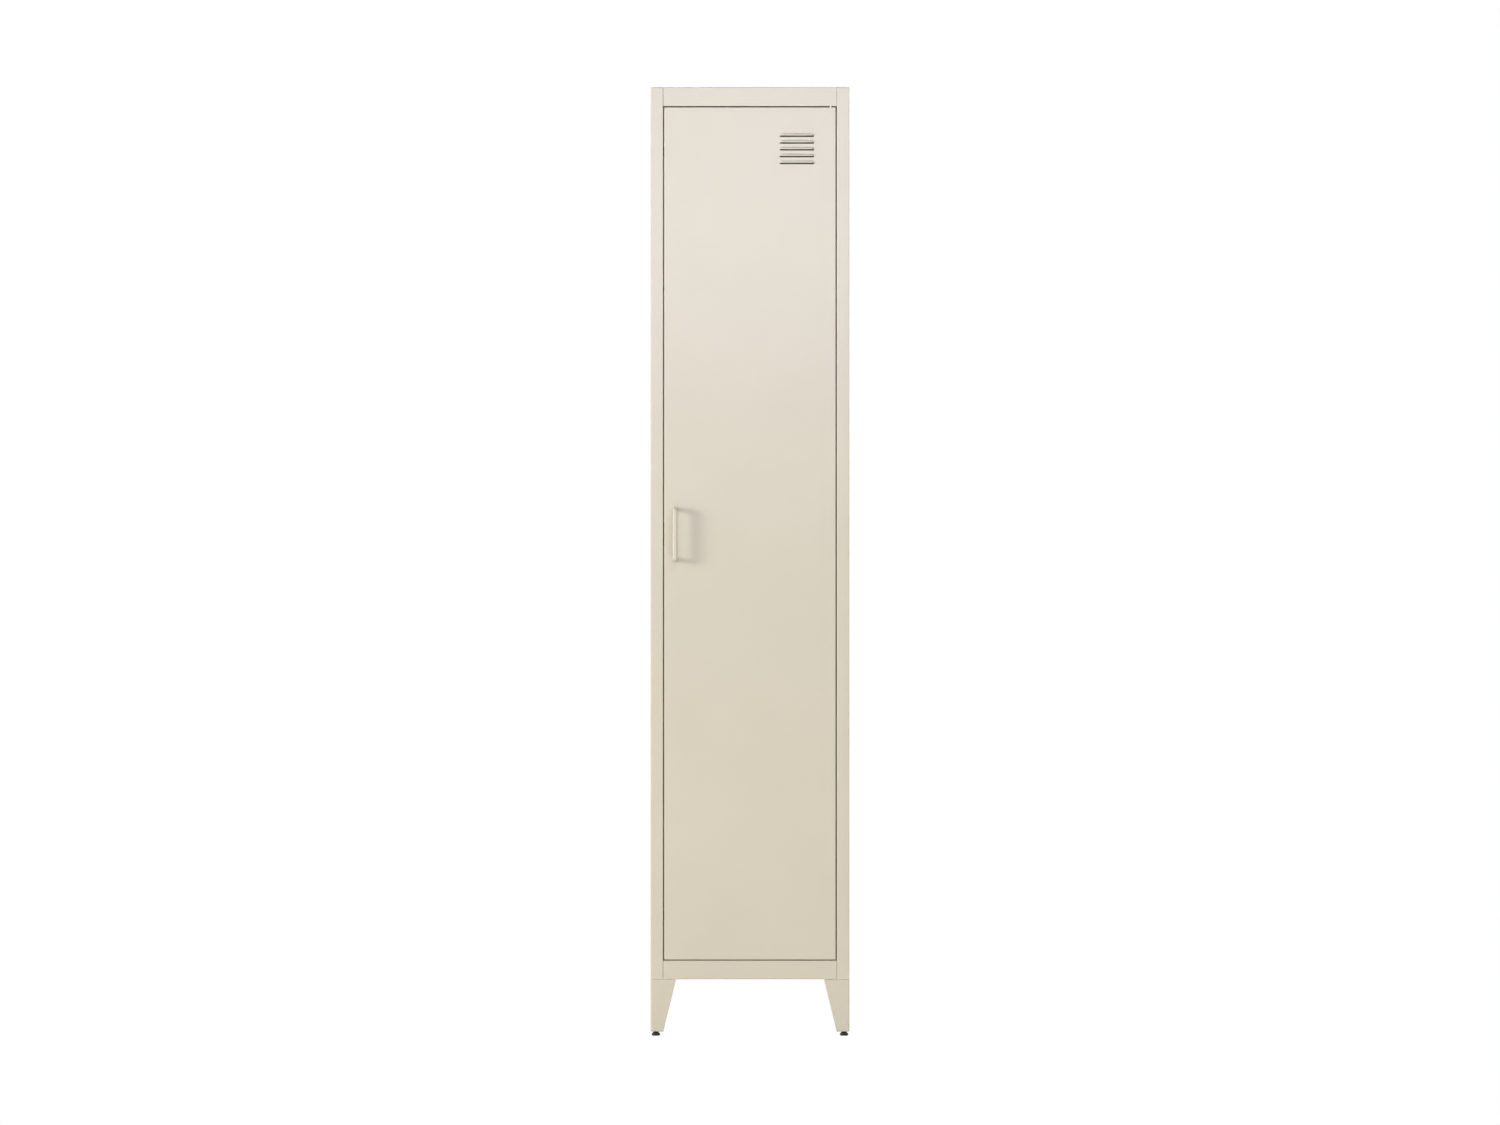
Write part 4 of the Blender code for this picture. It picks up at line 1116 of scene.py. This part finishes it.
def ferrite():
    """Sintered ferrite: dark grey with a fine crystal speckle."""
    tree, shader, place = new_finish("ferrite", (0.1, 0.1, 0.1), 0.6, 0.2)
    tint = blend_colours(tree, noise(tree, place, 1500, 6), (0.07, 0.07, 0.072), (0.14, 0.14, 0.145))
    tree.links.new(tint, shader.inputs["Base Color"])
    tree.links.new(spread(tree, noise(tree, place, 900, 3), 0.5, 0.7), shader.inputs["Roughness"])
    add_bump(tree, shader, noise(tree, place, 2000, 3), 0.015 * MM)


# Surroundings


def studio_floor():
    """A wide pale floor, flat out to the horizon of every view."""
    bm = bmesh.new()
    bm.faces.new([bm.verts.new(spot) for spot in circle(30, 96)])
    item = add_mesh("floor", bm)
    tree, shader, place = new_finish("floor", (0.86, 0.86, 0.85), 0.7)
    tint = blend_colours(tree, noise(tree, place, 0.7, 3), (0.85, 0.85, 0.84), (0.87, 0.87, 0.86))
    tree.links.new(tint, shader.inputs["Base Color"])
    item.data.materials.append(finishes["floor"])


def softbox(name, place, aim, width, height, roll, watts, colour):
    """A rectangular soft light that faces the point it aims at."""
    light = bpy.data.lights.new(name, "AREA")
    light.shape = "RECTANGLE"
    light.size, light.size_y = width, height
    light.energy = watts
    light.color = colour
    item = bpy.data.objects.new(name, light)
    item.location = place
    facing = (Vector(aim) - Vector(place)).to_track_quat("-Z", "Y")
    item.rotation_mode = "QUATERNION"
    item.rotation_quaternion = facing @ Matrix.Rotation(roll, 3, "Z").to_quaternion()
    item.visible_camera = False
    bpy.context.scene.collection.objects.link(item)


def studio_lights():
    """A key from the left, a wide fill, panels before the door's two ends, and lights beside and above."""
    middle = (0, FRONT, HEIGHT * 0.53)
    louvres, door_foot = (0.1, FRONT, 1.68), (0, FRONT, 0.2)
    softbox("key", (-5.3, -3.0, 1.7), middle, 1.7, 1.7, 0, 190, (1, 0.965, 0.91))
    softbox("fill", (0.1, -6.0, 1.2), middle, 4.0, 2.0, 0, 36, (1, 0.97, 0.9))
    softbox("upper_panel", (0.1, -1.15, 1.68), louvres, 1.1, 0.6, radians(12), 4.4, (0.64, 0.72, 1))
    softbox("lower_panel", (0, -1.6, 0.3), door_foot, 1.2, 0.4, 0, 1.8, (1, 0.98, 0.93))
    softbox("overhead", (0, 2.6, 3.4), (0, 0, HEIGHT), 2.4, 1.6, 0, 40, (1, 0.98, 0.95))
    softbox("side", (5.0, 1.6, 1.6), (HALF_WIDTH, 0, HEIGHT / 2), 2.6, 2.6, 0, 90, (1, 0.98, 0.94))


def studio_world():
    """Soft light from all round, fading upwards, behind a white backdrop."""
    world = bpy.data.worlds.new("studio")
    bpy.context.scene.world = world
    world.use_nodes = True
    tree = world.node_tree
    surround = tree.nodes["Background"]
    direction = tree.nodes.new("ShaderNodeTexCoord").outputs["Generated"]
    split = tree.nodes.new("ShaderNodeSeparateXYZ")
    tree.links.new(direction, split.inputs["Vector"])
    fade = tree.nodes.new("ShaderNodeMapRange")
    fade.inputs["To Min"].default_value = 0.62
    fade.inputs["To Max"].default_value = 0.1
    tree.links.new(split.outputs["Z"], fade.inputs["Value"])
    tree.links.new(fade.outputs["Result"], surround.inputs["Strength"])
    surround.inputs["Color"].default_value = (1, 0.965, 0.89, 1)
    backdrop = tree.nodes.new("ShaderNodeBackground")
    seen = tree.nodes.new("ShaderNodeLightPath").outputs["Is Camera Ray"]
    mix = tree.nodes.new("ShaderNodeMixShader")
    tree.links.new(seen, mix.inputs["Fac"])
    tree.links.new(surround.outputs["Background"], mix.inputs[1])
    tree.links.new(backdrop.outputs["Background"], mix.inputs[2])
    backdrop.inputs["Color"].default_value = (1, 1, 1, 1)
    tree.links.new(mix.outputs["Shader"], tree.nodes["World Output"].inputs["Surface"])


def camera():
    """A level view straight onto the front, without perspective."""
    data = bpy.data.cameras.new("camera")
    data.type = "ORTHO"
    data.ortho_scale = VIEW_WIDTH
    item = bpy.data.objects.new("camera", data)
    item.location = (0, -5, HEIGHT / 2 - VIEW_DROP)
    item.rotation_euler = (pi / 2, 0, 0)
    bpy.context.scene.collection.objects.link(item)
    bpy.context.scene.camera = item
    bpy.context.scene.view_settings.view_transform = "Standard"


# The locker


def carcass():
    """The body: its panels and shelves, and what is fixed to them."""
    for side_name, side in (("left", -1), ("right", 1)):
        side_panel(side_name, side)
        rail_socket("rail_socket_" + side_name, side)
        for shelf_name in ("upper", "lower"):
            for end_name in ("front", "rear"):
                shelf_clip(f"shelf_clip_{shelf_name}_{end_name}_{side_name}", side)
    top_panel()
    bottom_panel()
    back_panel()
    shelf("upper_shelf")
    shelf("lower_shelf")
    hanging_rail()
    catch()
    soft_block("door_stop_upper", "black_rubber", 1.2 * MM, 4)
    soft_block("door_stop_lower", "black_rubber", 1.2 * MM, 4)
    soft_block("door_glide", "black_nylon", 0.25 * MM, 1)
    hinge_bush("hinge_bush_upper", UPPER_COLLAR)
    hinge_bush("hinge_bush_lower", LOWER_COLLAR)


def legs():
    """Each corner's leg and levelling foot, with their bolt and nuts."""
    for name, corner in corners():
        leg(name, corner)
        leg_bolt(name)
        nut("leg_nut_" + name, BOLT_RADIUS + GAP)
        nut("foot_nut_" + name, STUD_RADIUS + GAP)
        foot(name)


def door():
    """The door with its handle and its two hinge pins."""
    door_panel()
    door_stiffener()
    handle()
    handle_screw("lower")
    handle_screw("upper")
    hinge_bracket()
    hinge_pin_lower()
    hinge_pin_upper()
    hinge_spring()


body_paint()
zinc_steel()
spring_steel()
black_nylon()
black_rubber()
ferrite()
carcass()
legs()
door()
studio_floor()
studio_lights()
studio_world()
camera()
